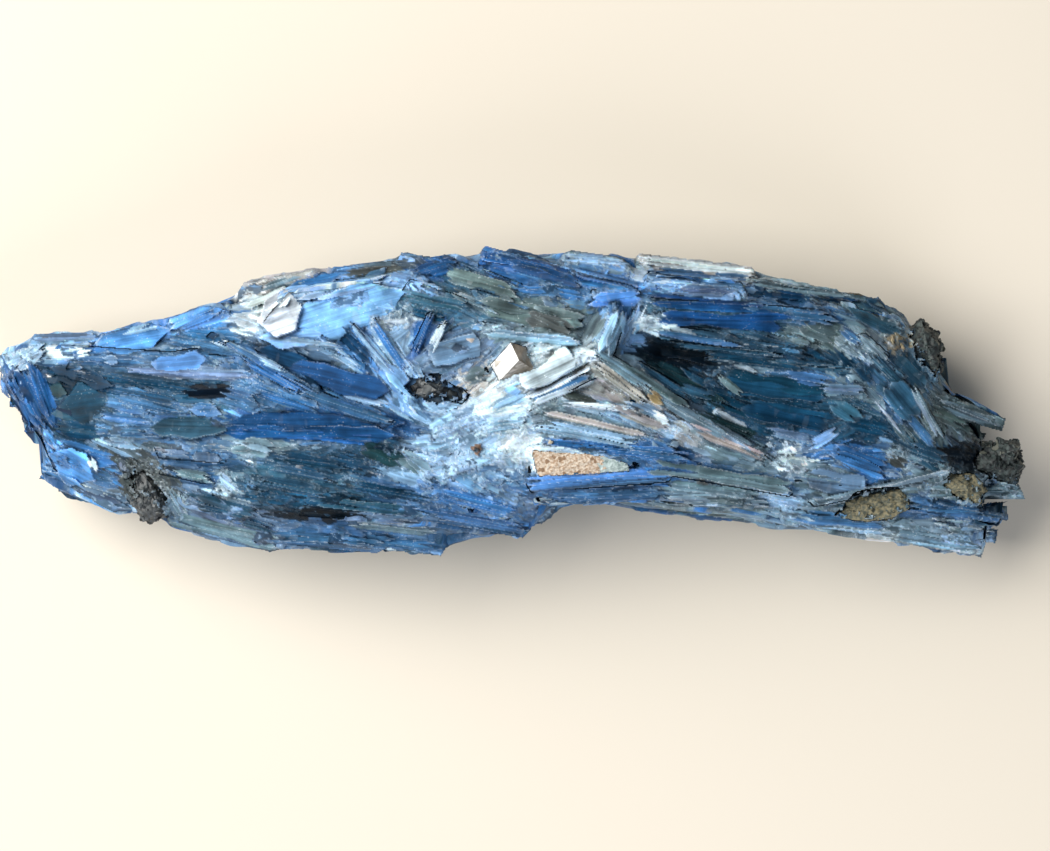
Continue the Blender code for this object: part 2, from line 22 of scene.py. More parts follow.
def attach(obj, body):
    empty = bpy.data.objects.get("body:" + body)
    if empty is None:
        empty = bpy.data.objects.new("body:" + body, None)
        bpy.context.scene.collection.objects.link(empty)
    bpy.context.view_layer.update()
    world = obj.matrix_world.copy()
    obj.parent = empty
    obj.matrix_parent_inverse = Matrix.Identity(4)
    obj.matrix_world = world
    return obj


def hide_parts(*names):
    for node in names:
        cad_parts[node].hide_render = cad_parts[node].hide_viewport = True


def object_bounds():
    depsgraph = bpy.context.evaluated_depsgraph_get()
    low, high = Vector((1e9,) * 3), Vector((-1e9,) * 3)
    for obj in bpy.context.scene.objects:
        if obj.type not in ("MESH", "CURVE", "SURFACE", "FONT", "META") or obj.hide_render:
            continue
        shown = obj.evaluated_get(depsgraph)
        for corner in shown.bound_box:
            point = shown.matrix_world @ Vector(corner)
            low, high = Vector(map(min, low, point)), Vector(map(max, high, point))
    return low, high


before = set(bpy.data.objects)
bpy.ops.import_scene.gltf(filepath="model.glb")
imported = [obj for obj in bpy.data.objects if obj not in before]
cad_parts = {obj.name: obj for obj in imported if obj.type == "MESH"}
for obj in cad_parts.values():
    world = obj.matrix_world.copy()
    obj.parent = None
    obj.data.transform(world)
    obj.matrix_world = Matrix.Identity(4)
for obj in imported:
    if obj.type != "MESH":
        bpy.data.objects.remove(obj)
CAD_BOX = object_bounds()

LOG = logging.getLogger("kyanite")
MM = 0.001
STEP = 0.15 * MM  # one chart step
CHART_CENTRE = (511.5, 403.0)  # the chart point over the origin
CLUSTER = "kyanite_blades"  # the solid that the laths grow on
RAY_START = 60 * MM  # how far out rays start, past every side of the specimen
UP = np.array((0.0, 0.0, 1.0))

Array = np.ndarray
Tree = bpy.types.NodeTree
Socket = bpy.types.NodeSocket
Colour = Union[str, Socket]


# --- Colours and places -----------------------------------------------


class Tone(Enum):
    """What a blade looks like: its body colour, and how frosted its broken edges are from 0 to 1."""

    # The near-black tone below is the real dark middle of the rusty spot, and painted shade in slots and gaps
    # between blades.
    BLACK_AND_SLOT_SHADE = ("#06131e", 0.03)
    NAVY = ("#143c5d", 0.14)
    DEEP = ("#184778", 0.16)
    ROYAL = ("#245a96", 0.25)
    BLUE = ("#3670ab", 0.32)
    AZURE = ("#5693da", 0.45)
    PERIWINKLE = ("#79aade", 0.50)
    STEEL = ("#3b6690", 0.30)
    TEAL = ("#103a54", 0.12)
    SLATE = ("#2d536c", 0.22)
    MAUVE = ("#587391", 0.28)
    PALE = ("#85abcd", 0.60)
    # The near-white tone below is frosted, sugary kyanite, and also a painted highlight where a face reflects
    # the window.
    ICE_AND_GLINT = ("#cfe4ef", 0.95)
    GREY = ("#6c8796", 0.50)
    BEIGE = ("#a3a19e", 0.60)
    OLIVE = ("#5c7176", 0.35)
    SMOKE = ("#3f4645", 0.20)
    GREEN = ("#17343b", 0.08)
    CREAM = ("#c6c3ad", 0.20)
    RUST = ("#6b4c33", 0.10)
    BUFF = ("#a39169", 0.20)


class Patch(NamedTuple):
    """A stretch of the upper surface where one tone prevails, with its half length, half width and turn."""

    x: float
    y: float
    length: float
    width: float
    turn: float
    tone: Tone
    weight: float = 1.0


class Blade(NamedTuple):
    """One large crystal that shows from above, from chart point (x0, y0) to (x1, y1)."""

    x0: float
    y0: float
    x1: float
    y1: float
    width: float
    tone: Tone
    laths: int = 3
    lift: float = 0.15
    ragged: float = 0.16
    taper: float = 0.0  # millimetres over which its ends narrow, or 0 for the usual


def linear(colour: str) -> tuple[float, float, float]:
    """Turns an sRGB hex colour to linear values.

    Args:
        colour: a colour such as "#1a4a88".

    Returns:
        Its red, green and blue in linear light.
    """
    channels = [int(colour[i : i + 2], 16) / 255 for i in (1, 3, 5)]
    return tuple(c / 12.92 if c <= 0.04045 else ((c + 0.055) / 1.055) ** 2.4 for c in channels)


def from_chart(x: float, y: float, height: float = 0.0) -> Vector:
    """The point over a chart place, at a height in metres."""
    return Vector(((x - CHART_CENTRE[0]) * STEP, (CHART_CENTRE[1] - y) * STEP, height))


def to_chart(points: Array) -> Array:
    """The chart places, as rows of x and y, that lie under world points."""
    return np.stack([points[:, 0] / STEP + CHART_CENTRE[0], CHART_CENTRE[1] - points[:, 1] / STEP], 1)


def generator(name: str) -> np.random.Generator:
    """Random numbers for one sub-assembly, always the same for the same name."""
    return np.random.default_rng([ord(letter) for letter in name])


def between(limits: tuple[float, float], share: float) -> float:
    """The value at a share of the way from the first limit to the second."""
    return limits[0] + (limits[1] - limits[0]) * share


def add_object(name: str, data: bpy.types.ID) -> bpy.types.Object:
    """Puts a mesh, a light or a camera in the scene.

    Args:
        name: the new object's name.
        data: what it shows.

    Returns:
        The object.
    """
    made = bpy.data.objects.new(name, data)
    bpy.context.scene.collection.objects.link(made)
    return made


def mesh_from(bm: bmesh.types.BMesh, name: str) -> bpy.types.Mesh:
    """Turns an edited form into a mesh, and frees the form.

    Args:
        bm: the form.
        name: the new mesh's name.

    Returns:
        The mesh.
    """
    mesh = bpy.data.meshes.new(name)
    bm.to_mesh(mesh)
    bm.free()
    return mesh


def solid_form(node: str) -> bmesh.types.BMesh:
    """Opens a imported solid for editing, with its corners joined.

    Args:
        node: the solid's name.

    Returns:
        Its form.
    """
    bm = bmesh.new()
    bm.from_mesh(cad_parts[node].data)
    bmesh.ops.remove_doubles(bm, verts=bm.verts, dist=0.001 * MM)
    return bm


# --- The tone and the run of the blades over the upper surface --------

T = Tone
PATCHES = tuple(Patch(*row) for row in (
    # the rounded first end
    (25, 352, 30, 10, 20, T.PALE), (66, 340, 36, 6, 0, T.PERIWINKLE), (60, 352, 30, 7, 0, T.PALE, 0.7),
    (26, 402, 26, 26, -60, T.DEEP, 1.3), (40, 410, 12, 26, -60, T.DEEP), (8, 392, 8, 18, -60, T.AZURE, 1.3),
    (62, 396, 16, 22, 0, T.TEAL), (90, 402, 26, 17, -10, T.SLATE, 1.2), (74, 432, 24, 10, -10, T.TEAL),
    (62, 468, 26, 20, -50, T.BLUE, 1.3), (96, 496, 40, 10, -22, T.PALE), (96, 470, 20, 14, -20, T.BLUE),
    # the far side, up to the big pale facet
    (136, 334, 38, 10, 15, T.AZURE, 1.4), (210, 315, 24, 16, 25, T.BLUE), (212, 342, 42, 12, -20, T.STEEL),
    (98, 352, 30, 6, 0, T.STEEL), (182, 361, 30, 8, 5, T.STEEL, 1.2), (190, 372, 76, 5, -3, T.MAUVE),
    (140, 386, 70, 12, -12, T.TEAL), (150, 396, 70, 14, -15, T.STEEL, 0.8),
    (212, 394, 26, 12, -5, T.TEAL, 1.2), (210, 410, 18, 8, -15, T.GREY),
    (246, 400, 24, 16, -20, T.STEEL, 0.8), (128, 415, 28, 8, -8, T.STEEL), (196, 430, 40, 8, 0, T.STEEL),
    (320, 425, 90, 11, -2, T.DEEP, 1.3),
    # the near side of the first half
    (124, 444, 24, 6, -5, T.PALE, 0.8), (196, 457, 36, 7, -3, T.STEEL), (196, 476, 26, 7, -8, T.STEEL),
    (232, 484, 12, 14, 0, T.GREY), (176, 505, 14, 18, -60, T.GREY, 1.2),
    (152, 486, 32, 28, -60, T.SMOKE, 1.6), (230, 515, 60, 16, -18, T.MAUVE),
    (230, 530, 90, 12, -18, T.MAUVE, 0.8), (270, 446, 30, 8, -3, T.GREY), (320, 458, 46, 10, -8, T.TEAL),
    # the near-black patch in this row is painted shade in a crevice
    (300, 480, 60, 12, -8, T.SLATE), (320, 500, 70, 12, -8, T.TEAL), (300, 515, 50, 6, -4, T.BLACK_AND_SLOT_SHADE, 0.7),
    (340, 532, 70, 10, -4, T.STEEL), (480, 512, 44, 10, -22, T.GREY, 0.6),
    (400, 520, 60, 9, -10, T.MAUVE, 0.8), (384, 453, 24, 14, -20, T.TEAL), (416, 466, 18, 16, -30, T.PALE),
    (420, 500, 40, 12, -20, T.STEEL), (470, 505, 50, 14, -22, T.BLUE, 1.1), (480, 525, 50, 9, -12, T.STEEL),
    # the sweep and the pale facet
    # the first patch in this row, near white, is a painted highlight: the window reflected on a cleavage face
    (276, 316, 26, 18, 10, T.ICE_AND_GLINT, 1.5), (348, 306, 54, 26, 15, T.PERIWINKLE, 1.6),
    (288, 283, 26, 10, 15, T.BEIGE), (318, 282, 30, 10, 15, T.BLUE), (380, 271, 36, 5, 8, T.SMOKE),
    (296, 357, 34, 9, -20, T.NAVY, 1.4), (344, 380, 50, 12, -17, T.NAVY, 1.5),
    (300, 345, 50, 6, -20, T.PALE), (330, 400, 60, 9, -22, T.STEEL), (280, 385, 50, 10, -28, T.STEEL, 0.8),
    (362, 350, 26, 18, -55, T.BLUE), (392, 350, 16, 24, -60, T.PALE), (402, 388, 16, 16, -50, T.PERIWINKLE),
    (410, 312, 44, 14, -5, T.SLATE), (400, 320, 30, 10, 0, T.ICE_AND_GLINT, 0.4),
    # the crown
    (426, 336, 14, 18, 62, T.ROYAL), (454, 352, 30, 18, 15, T.MAUVE, 1.3), (480, 380, 14, 12, 10, T.BEIGE),
    (438, 270, 24, 10, 20, T.DEEP), (476, 285, 44, 20, -20, T.SLATE), (500, 268, 36, 14, -15, T.ROYAL, 0.9),
    (548, 276, 44, 16, -15, T.STEEL, 1.1), (548, 322, 40, 14, -12, T.OLIVE, 1.2),
    (548, 325, 26, 9, -10, T.SMOKE), (592, 326, 14, 20, 60, T.OLIVE, 0.8), (520, 340, 50, 6, -8, T.GREY),
    (598, 263, 36, 9, -8, T.GREY), (606, 282, 34, 12, -15, T.AZURE), (612, 302, 26, 9, 0, T.STEEL),
    (612, 334, 14, 26, 72, T.PERIWINKLE),
    # the white heart and the splayed fan
    (546, 378, 44, 22, 25, T.ICE_AND_GLINT, 1.5), (500, 405, 34, 12, 15, T.ICE_AND_GLINT), (470, 420, 44, 16, 10, T.PALE),
    (480, 460, 44, 22, 0, T.PALE), (500, 474, 40, 12, -10, T.STEEL, 0.8), (520, 450, 16, 30, 80, T.ICE_AND_GLINT),
    (630, 380, 60, 14, -38, T.GREY), (640, 400, 60, 18, -36, T.BEIGE), (650, 416, 30, 16, -20, T.PALE, 0.9),
    (590, 425, 60, 14, -15, T.GREY), (630, 422, 46, 10, -18, T.PALE), (646, 450, 44, 10, -12, T.BLUE),
    (726, 448, 40, 12, -30, T.GREY), (600, 480, 70, 9, 4, T.BLUE, 1.2), (610, 493, 60, 9, 0, T.STEEL),
    # the far side of the second half
    (700, 268, 70, 8, -6, T.BEIGE), (710, 260, 60, 4, -5, T.PALE, 0.6),
    (705, 292, 40, 10, -6, T.PERIWINKLE, 0.9), (720, 318, 80, 14, -3, T.SLATE, 1.5),
    (660, 326, 26, 6, -8, T.ICE_AND_GLINT, 0.8), (720, 345, 80, 8, -10, T.SLATE),
    # the near-black patch in this row is painted shade in a slot
    (664, 358, 44, 12, -16, T.BLACK_AND_SLOT_SHADE, 2.0), (690, 392, 30, 9, -30, T.SLATE),
    (668, 378, 36, 8, -34, T.GREEN, 1.2), (724, 385, 16, 10, -40, T.SLATE, 0.9),
    (740, 404, 70, 20, -22, T.TEAL, 1.4), (790, 408, 50, 22, -14, T.TEAL, 1.3),
    (800, 286, 60, 9, -12, T.GREY), (800, 298, 60, 5, -8, T.NAVY), (795, 314, 46, 12, -6, T.STEEL),
    (810, 332, 28, 13, -15, T.OLIVE), (874, 318, 30, 14, -25, T.GREY), (850, 338, 14, 12, -50, T.GREY, 0.8),
    (800, 360, 60, 10, -10, T.TEAL), (800, 377, 34, 9, -8, T.STEEL), (836, 390, 28, 7, -4, T.GREY),
    (838, 410, 20, 18, -10, T.SLATE), (862, 427, 24, 10, -5, T.TEAL),
    # the splintered end
    (896, 342, 13, 8, -20, T.BUFF, 1.2), (910, 375, 24, 28, -60, T.SLATE), (894, 402, 16, 18, -50, T.STEEL),
    (926, 420, 12, 36, -55, T.OLIVE, 0.8), (960, 412, 44, 16, -25, T.OLIVE),
    (816, 440, 18, 10, 30, T.STEEL), (860, 462, 36, 12, -22, T.BLUE, 1.2), (894, 462, 12, 14, 0, T.GREY),
    (920, 452, 26, 12, -30, T.SLATE), (788, 456, 10, 9, 0, T.ICE_AND_GLINT), (830, 482, 34, 13, 5, T.GREY),
    (885, 484, 64, 5, 12, T.GREY), (865, 503, 40, 16, 8, T.OLIVE), (960, 488, 28, 13, 0, T.OLIVE),
    # the near-black patch in this row is painted shade in a gap between blades
    (980, 462, 44, 13, -8, T.BLACK_AND_SLOT_SHADE), (998, 490, 24, 14, -20, T.GREY), (950, 512, 56, 11, -10, T.STEEL),
    (970, 536, 26, 18, 0, T.PALE),
    # the near side of the second half
    (724, 476, 70, 9, -10, T.STEEL, 0.9), (710, 496, 60, 14, 0, T.GREY), (720, 508, 60, 6, 0, T.OLIVE, 0.6),
    (772, 500, 26, 14, -10, T.PALE), (850, 523, 80, 9, -6, T.GREY), (900, 540, 80, 6, -10, T.ICE_AND_GLINT),
))

# The run of the blades, as a chart place and the angle there in degrees above the specimen's length
FLOW = (
    (20, 395, -65), (85, 400, -10), (70, 470, -35), (110, 500, -20), (60, 342, -2), (150, 345, -3),
    (130, 335, 14), (200, 315, 25), (200, 360, -2), (150, 400, -14), (240, 400, -22), (200, 430, -2),
    (300, 428, 0), (380, 420, -15), (200, 455, -4), (150, 490, -60), (230, 510, -18), (300, 480, -8),
    (300, 540, -3), (400, 500, -12), (400, 540, -8), (480, 500, -25), (500, 522, -12), (280, 350, -28),
    (330, 375, -17), (300, 385, -25), (370, 350, -58), (400, 385, -58), (340, 300, 16), (300, 280, 16),
    (400, 300, 0), (430, 330, 62), (450, 355, 20), (440, 290, -25), (480, 300, -28), (520, 270, -14),
    (560, 290, -12), (540, 325, -10), (600, 265, -10), (610, 330, 70), (500, 360, 50), (560, 370, 26),
    (520, 400, 16), (470, 440, 30), (600, 400, -22), (640, 385, -36), (700, 430, -34), (640, 420, -22),
    (620, 440, -15), (600, 480, 4), (700, 470, -10), (740, 480, -12), (700, 500, 2), (720, 285, -5),
    (720, 315, -3), (650, 355, -14), (720, 350, -12), (760, 360, -10), (700, 400, -32), (760, 400, -14),
    (800, 420, -10), (840, 320, -20), (860, 345, -42), (870, 295, -16), (880, 365, -45), (905, 400, -55),
    (930, 430, -58), (830, 440, 25), (850, 460, -20), (880, 484, 12), (870, 505, 8), (960, 410, -25),
    (990, 460, -20), (960, 510, -10), (850, 522, -6), (930, 538, -14), (990, 530, 10),
)

BLADES = tuple(Blade(*row) for row in (
    # the rounded first end
    (12, 368, 40, 430, 20, T.DEEP, 6), (26, 364, 54, 430, 20, T.DEEP, 6), (38, 366, 62, 428, 14, T.DEEP, 4),
    (4, 376, 50, 346, 18, T.PALE, 5, 0.2, 0.4), (30, 340, 104, 338, 8, T.MAUVE, 3),
    (36, 352, 98, 350, 12, T.ICE_AND_GLINT, 5, 0.2, 0.4), (48, 374, 118, 392, 22, T.TEAL, 2, 0.3, 0.05, 3.0),
    (52, 414, 112, 412, 18, T.SLATE, 1, 0.3, 0.05, 3.0),
    (62, 406, 116, 400, 34, T.TEAL, 1, 0.55, 0.04, 3.5), (50, 388, 74, 394, 14, T.GREEN, 1, 0.6, 0.05, 1.5),
    (58, 426, 112, 434, 14, T.TEAL, 4), (44, 462, 96, 490, 40, T.AZURE, 2, 0.4, 0.06, 3.0),
    (62, 446, 124, 462, 16, T.BLUE, 4), (74, 490, 134, 508, 15, T.MAUVE, 4),
    # the first blade in this row, near white, is a painted glint on the rounded lobe
    (94, 452, 100, 473, 8, T.ICE_AND_GLINT, 2, 1.3, 0.3, 0.8), (88, 474, 122, 484, 13, T.STEEL, 4),
    # the far side, up to the pale facet
    (96, 345, 176, 329, 24, T.AZURE, 1, 0.5, 0.06, 3.0), (112, 336, 166, 322, 9, T.PALE, 4, 0.1, 0.4),
    (172, 330, 232, 306, 22, T.AZURE, 5, 0.2, 0.3), (170, 342, 246, 356, 12, T.STEEL, 4),
    (178, 332, 250, 340, 10, T.BLUE, 4), (70, 352, 122, 349, 8, T.BLUE, 3),
    (104, 361, 126, 361, 7, T.PERIWINKLE, 2, 0.4, 0.3), (72, 360, 156, 362, 9, T.STEEL, 4),
    (154, 364, 214, 359, 17, T.AZURE, 1, 0.6, 0.05, 1.6), (120, 371, 266, 378, 9, T.MAUVE, 4, 0.3),
    (76, 374, 148, 386, 8, T.TEAL, 4), (84, 382, 188, 406, 9, T.NAVY, 4),
    (104, 376, 206, 388, 9, T.TEAL, 4), (120, 396, 190, 412, 10, T.STEEL, 4),
    # the near-black blade in this row is painted shade in a gap between blades
    (186, 392, 238, 392, 14, T.BLACK_AND_SLOT_SHADE, 3, 0.05), (194, 408, 228, 412, 10, T.STEEL, 2, 0.4),
    (226, 388, 262, 398, 12, T.STEEL, 5, 0.3, 0.4), (104, 412, 158, 421, 12, T.STEEL, 4, 0.4, 0.3),
    (154, 428, 238, 430, 18, T.SLATE, 1, 0.5, 0.05, 2.0), (106, 440, 148, 446, 9, T.PALE, 3, 0.4, 0.3),
    (96, 430, 160, 433, 9, T.STEEL, 4),
    # the long deep-blue blade and the near side of the first half
    (220, 424, 410, 430, 20, T.DEEP, 2, 0.5, 0.06, 3.0), (236, 432, 392, 439, 7, T.ROYAL, 3, 0.2, 0.2),
    (164, 451, 200, 455, 8, T.MAUVE, 2, 0.5), (196, 456, 230, 459, 9, T.MAUVE, 1, 0.6, 0.1),
    (176, 470, 222, 480, 9, T.GREY, 3, 0.4), (222, 474, 244, 490, 10, T.PALE, 5, 0.3, 0.5),
    (246, 441, 282, 449, 11, T.GREY, 2, 0.5, 0.1), (170, 486, 186, 518, 12, T.GREY, 5, 0.3, 0.5),
    (188, 492, 262, 514, 12, T.SLATE, 4), (200, 506, 280, 530, 11, T.SLATE, 4),
    (168, 516, 290, 545, 13, T.GREY, 4, 0.1), (258, 536, 396, 545, 14, T.STEEL, 4, 0.1),
    (340, 538, 446, 547, 9, T.STEEL, 4, 0.1), (256, 478, 330, 492, 10, T.SLATE, 4),
    # the near-black blade in this row is painted shade in a crevice
    (300, 508, 380, 514, 8, T.BLACK_AND_SLOT_SHADE, 3, 0.0), (310, 498, 430, 512, 9, T.SLATE, 4, 0.3),
    (346, 482, 436, 498, 9, T.TEAL, 4), (284, 456, 352, 466, 9, T.TEAL, 4),
    (272, 466, 340, 478, 8, T.SLATE, 4, 0.3), (362, 446, 408, 462, 14, T.GREEN, 3, 0.0),
    (402, 452, 432, 476, 16, T.GREY, 3, 0.3, 0.2), (350, 520, 440, 532, 9, T.GREY, 4, 0.2),
    (404, 508, 528, 530, 12, T.STEEL, 6, 0.2, 0.3), (430, 488, 518, 512, 12, T.BLUE, 6, 0.3, 0.3),
    (440, 520, 530, 534, 9, T.STEEL, 4),
    # the sweep and the pale facet
    (292, 326, 410, 290, 44, T.PERIWINKLE, 1, 0.7, 0.03, 6.0),
    (262, 340, 330, 334, 20, T.PERIWINKLE, 1, 0.7, 0.05, 3.0),
    # the two near-white blades in this row are a painted highlight: the window reflected on a cleavage face
    (256, 326, 308, 308, 36, T.ICE_AND_GLINT, 1, 1.9, 0.12, 2.0), (250, 312, 296, 296, 16, T.ICE_AND_GLINT, 2, 1.5, 0.2, 1.0),
    (300, 302, 402, 276, 12, T.PALE, 3, 0.6, 0.2), (292, 292, 346, 276, 12, T.BLUE, 3, 0.2),
    (262, 294, 306, 278, 12, T.GREY, 4, 0.1, 0.3), (344, 276, 412, 268, 8, T.SMOKE, 3, 0.0),
    (266, 340, 352, 350, 8, T.PALE, 4, 0.4, 0.3), (258, 350, 326, 370, 15, T.NAVY, 1, 0.5, 0.05, 2.5),
    (290, 366, 396, 393, 23, T.DEEP, 1, 0.6, 0.04, 2.0), (214, 338, 296, 374, 6, T.PALE, 3, 0.4),
    (226, 342, 326, 396, 7, T.STEEL, 4, 0.5, 0.2), (240, 356, 320, 400, 7, T.BLUE, 4, 0.4, 0.2),
    (300, 392, 400, 424, 10, T.STEEL, 5, 0.3, 0.25), (330, 390, 410, 410, 7, T.PALE, 3, 0.3, 0.3),
    (252, 390, 326, 412, 9, T.BLUE, 4), (336, 326, 376, 364, 9, T.NAVY, 2, 0.4, 0.1),
    (352, 322, 396, 374, 8, T.PALE, 4, 0.4, 0.3), (322, 342, 368, 372, 8, T.PALE, 5, 0.3, 0.4),
    (374, 322, 408, 372, 8, T.BLUE, 4, 0.4), (386, 366, 418, 398, 13, T.PERIWINKLE, 2, 0.3, 0.15),
    (364, 300, 398, 306, 12, T.PERIWINKLE, 3, 0.3, 0.3),
    # the crown
    (400, 296, 470, 312, 12, T.SLATE, 5, 0.3), (406, 312, 452, 322, 10, T.TEAL, 4, 0.2, 0.3),
    (416, 356, 434, 314, 9, T.ROYAL, 6, 0.5, 0.2), (430, 356, 448, 322, 8, T.ICE_AND_GLINT, 5, 0.4, 0.3),
    (428, 358, 482, 342, 26, T.MAUVE, 1, 0.4, 0.06), (466, 384, 492, 374, 13, T.OLIVE, 2, 0.2),
    (414, 276, 462, 262, 12, T.DEEP, 3, 0.1), (440, 274, 520, 300, 16, T.OLIVE, 3, 0.3),
    (452, 292, 500, 318, 9, T.GREY, 4, 0.3, 0.3), (470, 258, 560, 272, 12, T.ROYAL, 3, 0.2),
    (508, 262, 590, 288, 14, T.DEEP, 3, 0.3), (512, 290, 586, 300, 8, T.BLUE, 3, 0.2),
    (476, 306, 586, 326, 16, T.OLIVE, 2, 0.3, 0.1), (520, 316, 576, 334, 12, T.SMOKE, 2, 0.3, 0.1),
    (484, 334, 582, 344, 9, T.PALE, 3, 0.4), (562, 258, 636, 266, 11, T.PALE, 6, 0.2, 0.4),
    (566, 276, 640, 290, 12, T.BLUE, 3, 0.3), (586, 304, 640, 298, 12, T.AZURE, 2, 0.5, 0.12),
    (602, 358, 622, 310, 14, T.PALE, 3, 0.6, 0.15), (616, 350, 628, 318, 9, T.PALE, 3, 0.3),
    (584, 344, 604, 312, 12, T.OLIVE, 3, 0.1), (468, 341, 477, 338, 9, T.CREAM, 1, 1.2, 0.1, 0.5),
    # the white heart and the splayed fan
    (473, 444, 483, 452, 11, T.RUST, 5, 0.9, 0.5, 0.3), (475, 453, 482, 443, 9, T.RUST, 3, 1.0, 0.5, 0.3),
    (476, 450, 480, 447, 5, T.BLACK_AND_SLOT_SHADE, 2, 1.3, 0.4, 0.3), (546, 443, 553, 441, 5, T.BUFF, 1, 1.2, 0.2, 0.4),
    (518, 386, 574, 358, 18, T.ICE_AND_GLINT, 1, 1.1, 0.05, 0.6), (528, 398, 590, 370, 5, T.ICE_AND_GLINT, 1, 1.0, 0.06),
    (532, 404, 594, 380, 6, T.ICE_AND_GLINT, 1, 1.0, 0.06), (532, 400, 588, 376, 6, T.BLUE, 1, 0.7, 0.06),
    (488, 412, 532, 392, 12, T.PALE, 3, 0.4, 0.2), (474, 416, 530, 408, 9, T.ICE_AND_GLINT, 4, 0.4, 0.3),
    (480, 430, 530, 422, 8, T.PALE, 4, 0.4, 0.3), (498, 400, 526, 384, 9, T.PERIWINKLE, 2, 0.4),
    (574, 350, 600, 358, 6, T.ICE_AND_GLINT, 3, 0.7, 0.3), (590, 352, 650, 392, 10, T.GREY, 3, 0.6),
    (604, 356, 686, 408, 6, T.OLIVE, 2, 0.6), (592, 364, 644, 404, 8, T.BEIGE, 3, 0.6),
    (640, 392, 724, 436, 8, T.GREY, 3, 0.6, 0.2), (638, 410, 672, 424, 9, T.ICE_AND_GLINT, 3, 0.7, 0.3),
    (644, 392, 662, 404, 10, T.BUFF, 2, 0.8, 0.2), (556, 394, 600, 404, 8, T.SMOKE, 2, 0.3),
    (560, 404, 630, 410, 6, T.ICE_AND_GLINT, 3, 0.6, 0.2), (600, 404, 672, 432, 8, T.BEIGE, 3, 0.6, 0.2),
    (620, 400, 676, 424, 10, T.PALE, 4, 0.5, 0.3), (542, 412, 646, 436, 6, T.BEIGE, 3, 0.7, 0.15),
    (532, 424, 640, 444, 12, T.PALE, 5, 0.5, 0.2), (540, 440, 690, 456, 10, T.BLUE, 5, 0.4, 0.2),
    (610, 446, 690, 462, 7, T.STEEL, 3, 0.5, 0.2), (684, 426, 762, 458, 9, T.BEIGE, 4, 0.4, 0.3),
    (692, 418, 770, 462, 7, T.GREY, 4, 0.5, 0.3), (524, 482, 670, 470, 10, T.AZURE, 3, 0.5, 0.15),
    (534, 488, 666, 480, 8, T.STEEL, 3, 0.3, 0.2), (548, 497, 662, 494, 9, T.STEEL, 4, 0.1),
    # the far side of the second half
    (638, 262, 760, 272, 11, T.ICE_AND_GLINT, 6, 0.2, 0.4), (640, 274, 748, 284, 11, T.STEEL, 5, 0.2),
    (664, 290, 742, 296, 11, T.MAUVE, 5, 0.5, 0.3), (644, 302, 770, 312, 11, T.DEEP, 3, 0.4),
    (640, 318, 790, 326, 13, T.DEEP, 2, 0.4), (740, 306, 836, 322, 12, T.STEEL, 3, 0.4),
    (640, 330, 684, 328, 7, T.ICE_AND_GLINT, 5, 0.4, 0.5), (646, 334, 740, 346, 5, T.STEEL, 2, 0.6, 0.2),
    # the near-black blade in this row is painted shade in a slot
    (654, 344, 800, 358, 5, T.SLATE, 2, 0.7, 0.2), (640, 350, 730, 364, 9, T.BLACK_AND_SLOT_SHADE, 2, 0.0),
    (744, 282, 850, 298, 9, T.GREY, 3, 0.2), (756, 294, 862, 304, 8, T.NAVY, 3, 0.2),
    (790, 324, 836, 342, 14, T.OLIVE, 3, 0.3), (842, 306, 900, 334, 14, T.SLATE, 3, 0.3),
    (858, 298, 906, 322, 9, T.SLATE, 3, 0.2), (834, 328, 858, 346, 9, T.STEEL, 3, 0.6, 0.2),
    (846, 330, 884, 364, 6, T.GREY, 3, 0.5, 0.2), (700, 356, 812, 372, 8, T.TEAL, 4, 0.3),
    (764, 362, 860, 372, 7, T.SLATE, 4, 0.4, 0.3), (768, 374, 828, 384, 10, T.STEEL, 4, 0.3, 0.3),
    (654, 366, 724, 408, 10, T.GREEN, 3, 0.3), (630, 360, 690, 402, 7, T.SLATE, 3, 0.4),
    (668, 384, 716, 400, 8, T.SLATE, 2, 0.4), (712, 374, 738, 396, 7, T.OLIVE, 2, 0.6, 0.2),
    (700, 394, 770, 422, 12, T.TEAL, 3, 0.3), (716, 378, 830, 398, 16, T.TEAL, 2, 0.4, 0.1),
    (736, 404, 832, 424, 16, T.TEAL, 2, 0.4, 0.1), (690, 410, 760, 440, 7, T.GREEN, 4, 0.3),
    (812, 388, 862, 391, 9, T.MAUVE, 3, 0.6, 0.2), (824, 402, 856, 422, 14, T.SLATE, 2, 0.3),
    (838, 422, 886, 432, 12, T.TEAL, 4, 0.1), (760, 430, 812, 440, 8, T.MAUVE, 4, 0.3),
    (862, 352, 906, 394, 8, T.SLATE, 5, 0.4), (880, 384, 912, 420, 18, T.SLATE, 2, 0.4, 0.1),
    (906, 388, 940, 442, 8, T.GREY, 3, 0.5, 0.12), (894, 406, 930, 448, 9, T.STEEL, 3, 0.3),
    (886, 350, 930, 392, 16, T.SLATE, 3, 0.2),
    # the splintered end
    (926, 398, 1003, 428, 12, T.GREY, 4, 0.1, 0.2), (922, 408, 976, 430, 12, T.OLIVE, 4, 0.1, 0.2),
    (802, 446, 834, 430, 9, T.PERIWINKLE, 3, 0.4, 0.3), (824, 448, 884, 472, 15, T.BLUE, 3, 0.5, 0.12),
    (876, 472, 896, 474, 8, T.PALE, 2, 0.4), (882, 456, 904, 466, 12, T.SMOKE, 2, 0.3),
    (900, 446, 944, 460, 12, T.SLATE, 4, 0.2), (800, 478, 862, 486, 16, T.MAUVE, 1, 0.3, 0.1),
    (818, 499, 948, 471, 6, T.GREY, 2, 0.9, 0.06), (826, 506, 896, 492, 4, T.SLATE, 2, 0.5, 0.06),
    # the near-black blade in this row is painted shade in a gap between blades
    (924, 452, 1004, 460, 14, T.BLACK_AND_SLOT_SHADE, 4, 0.1, 0.3), (936, 478, 1014, 486, 13, T.GREY, 5, 0.1, 0.3),
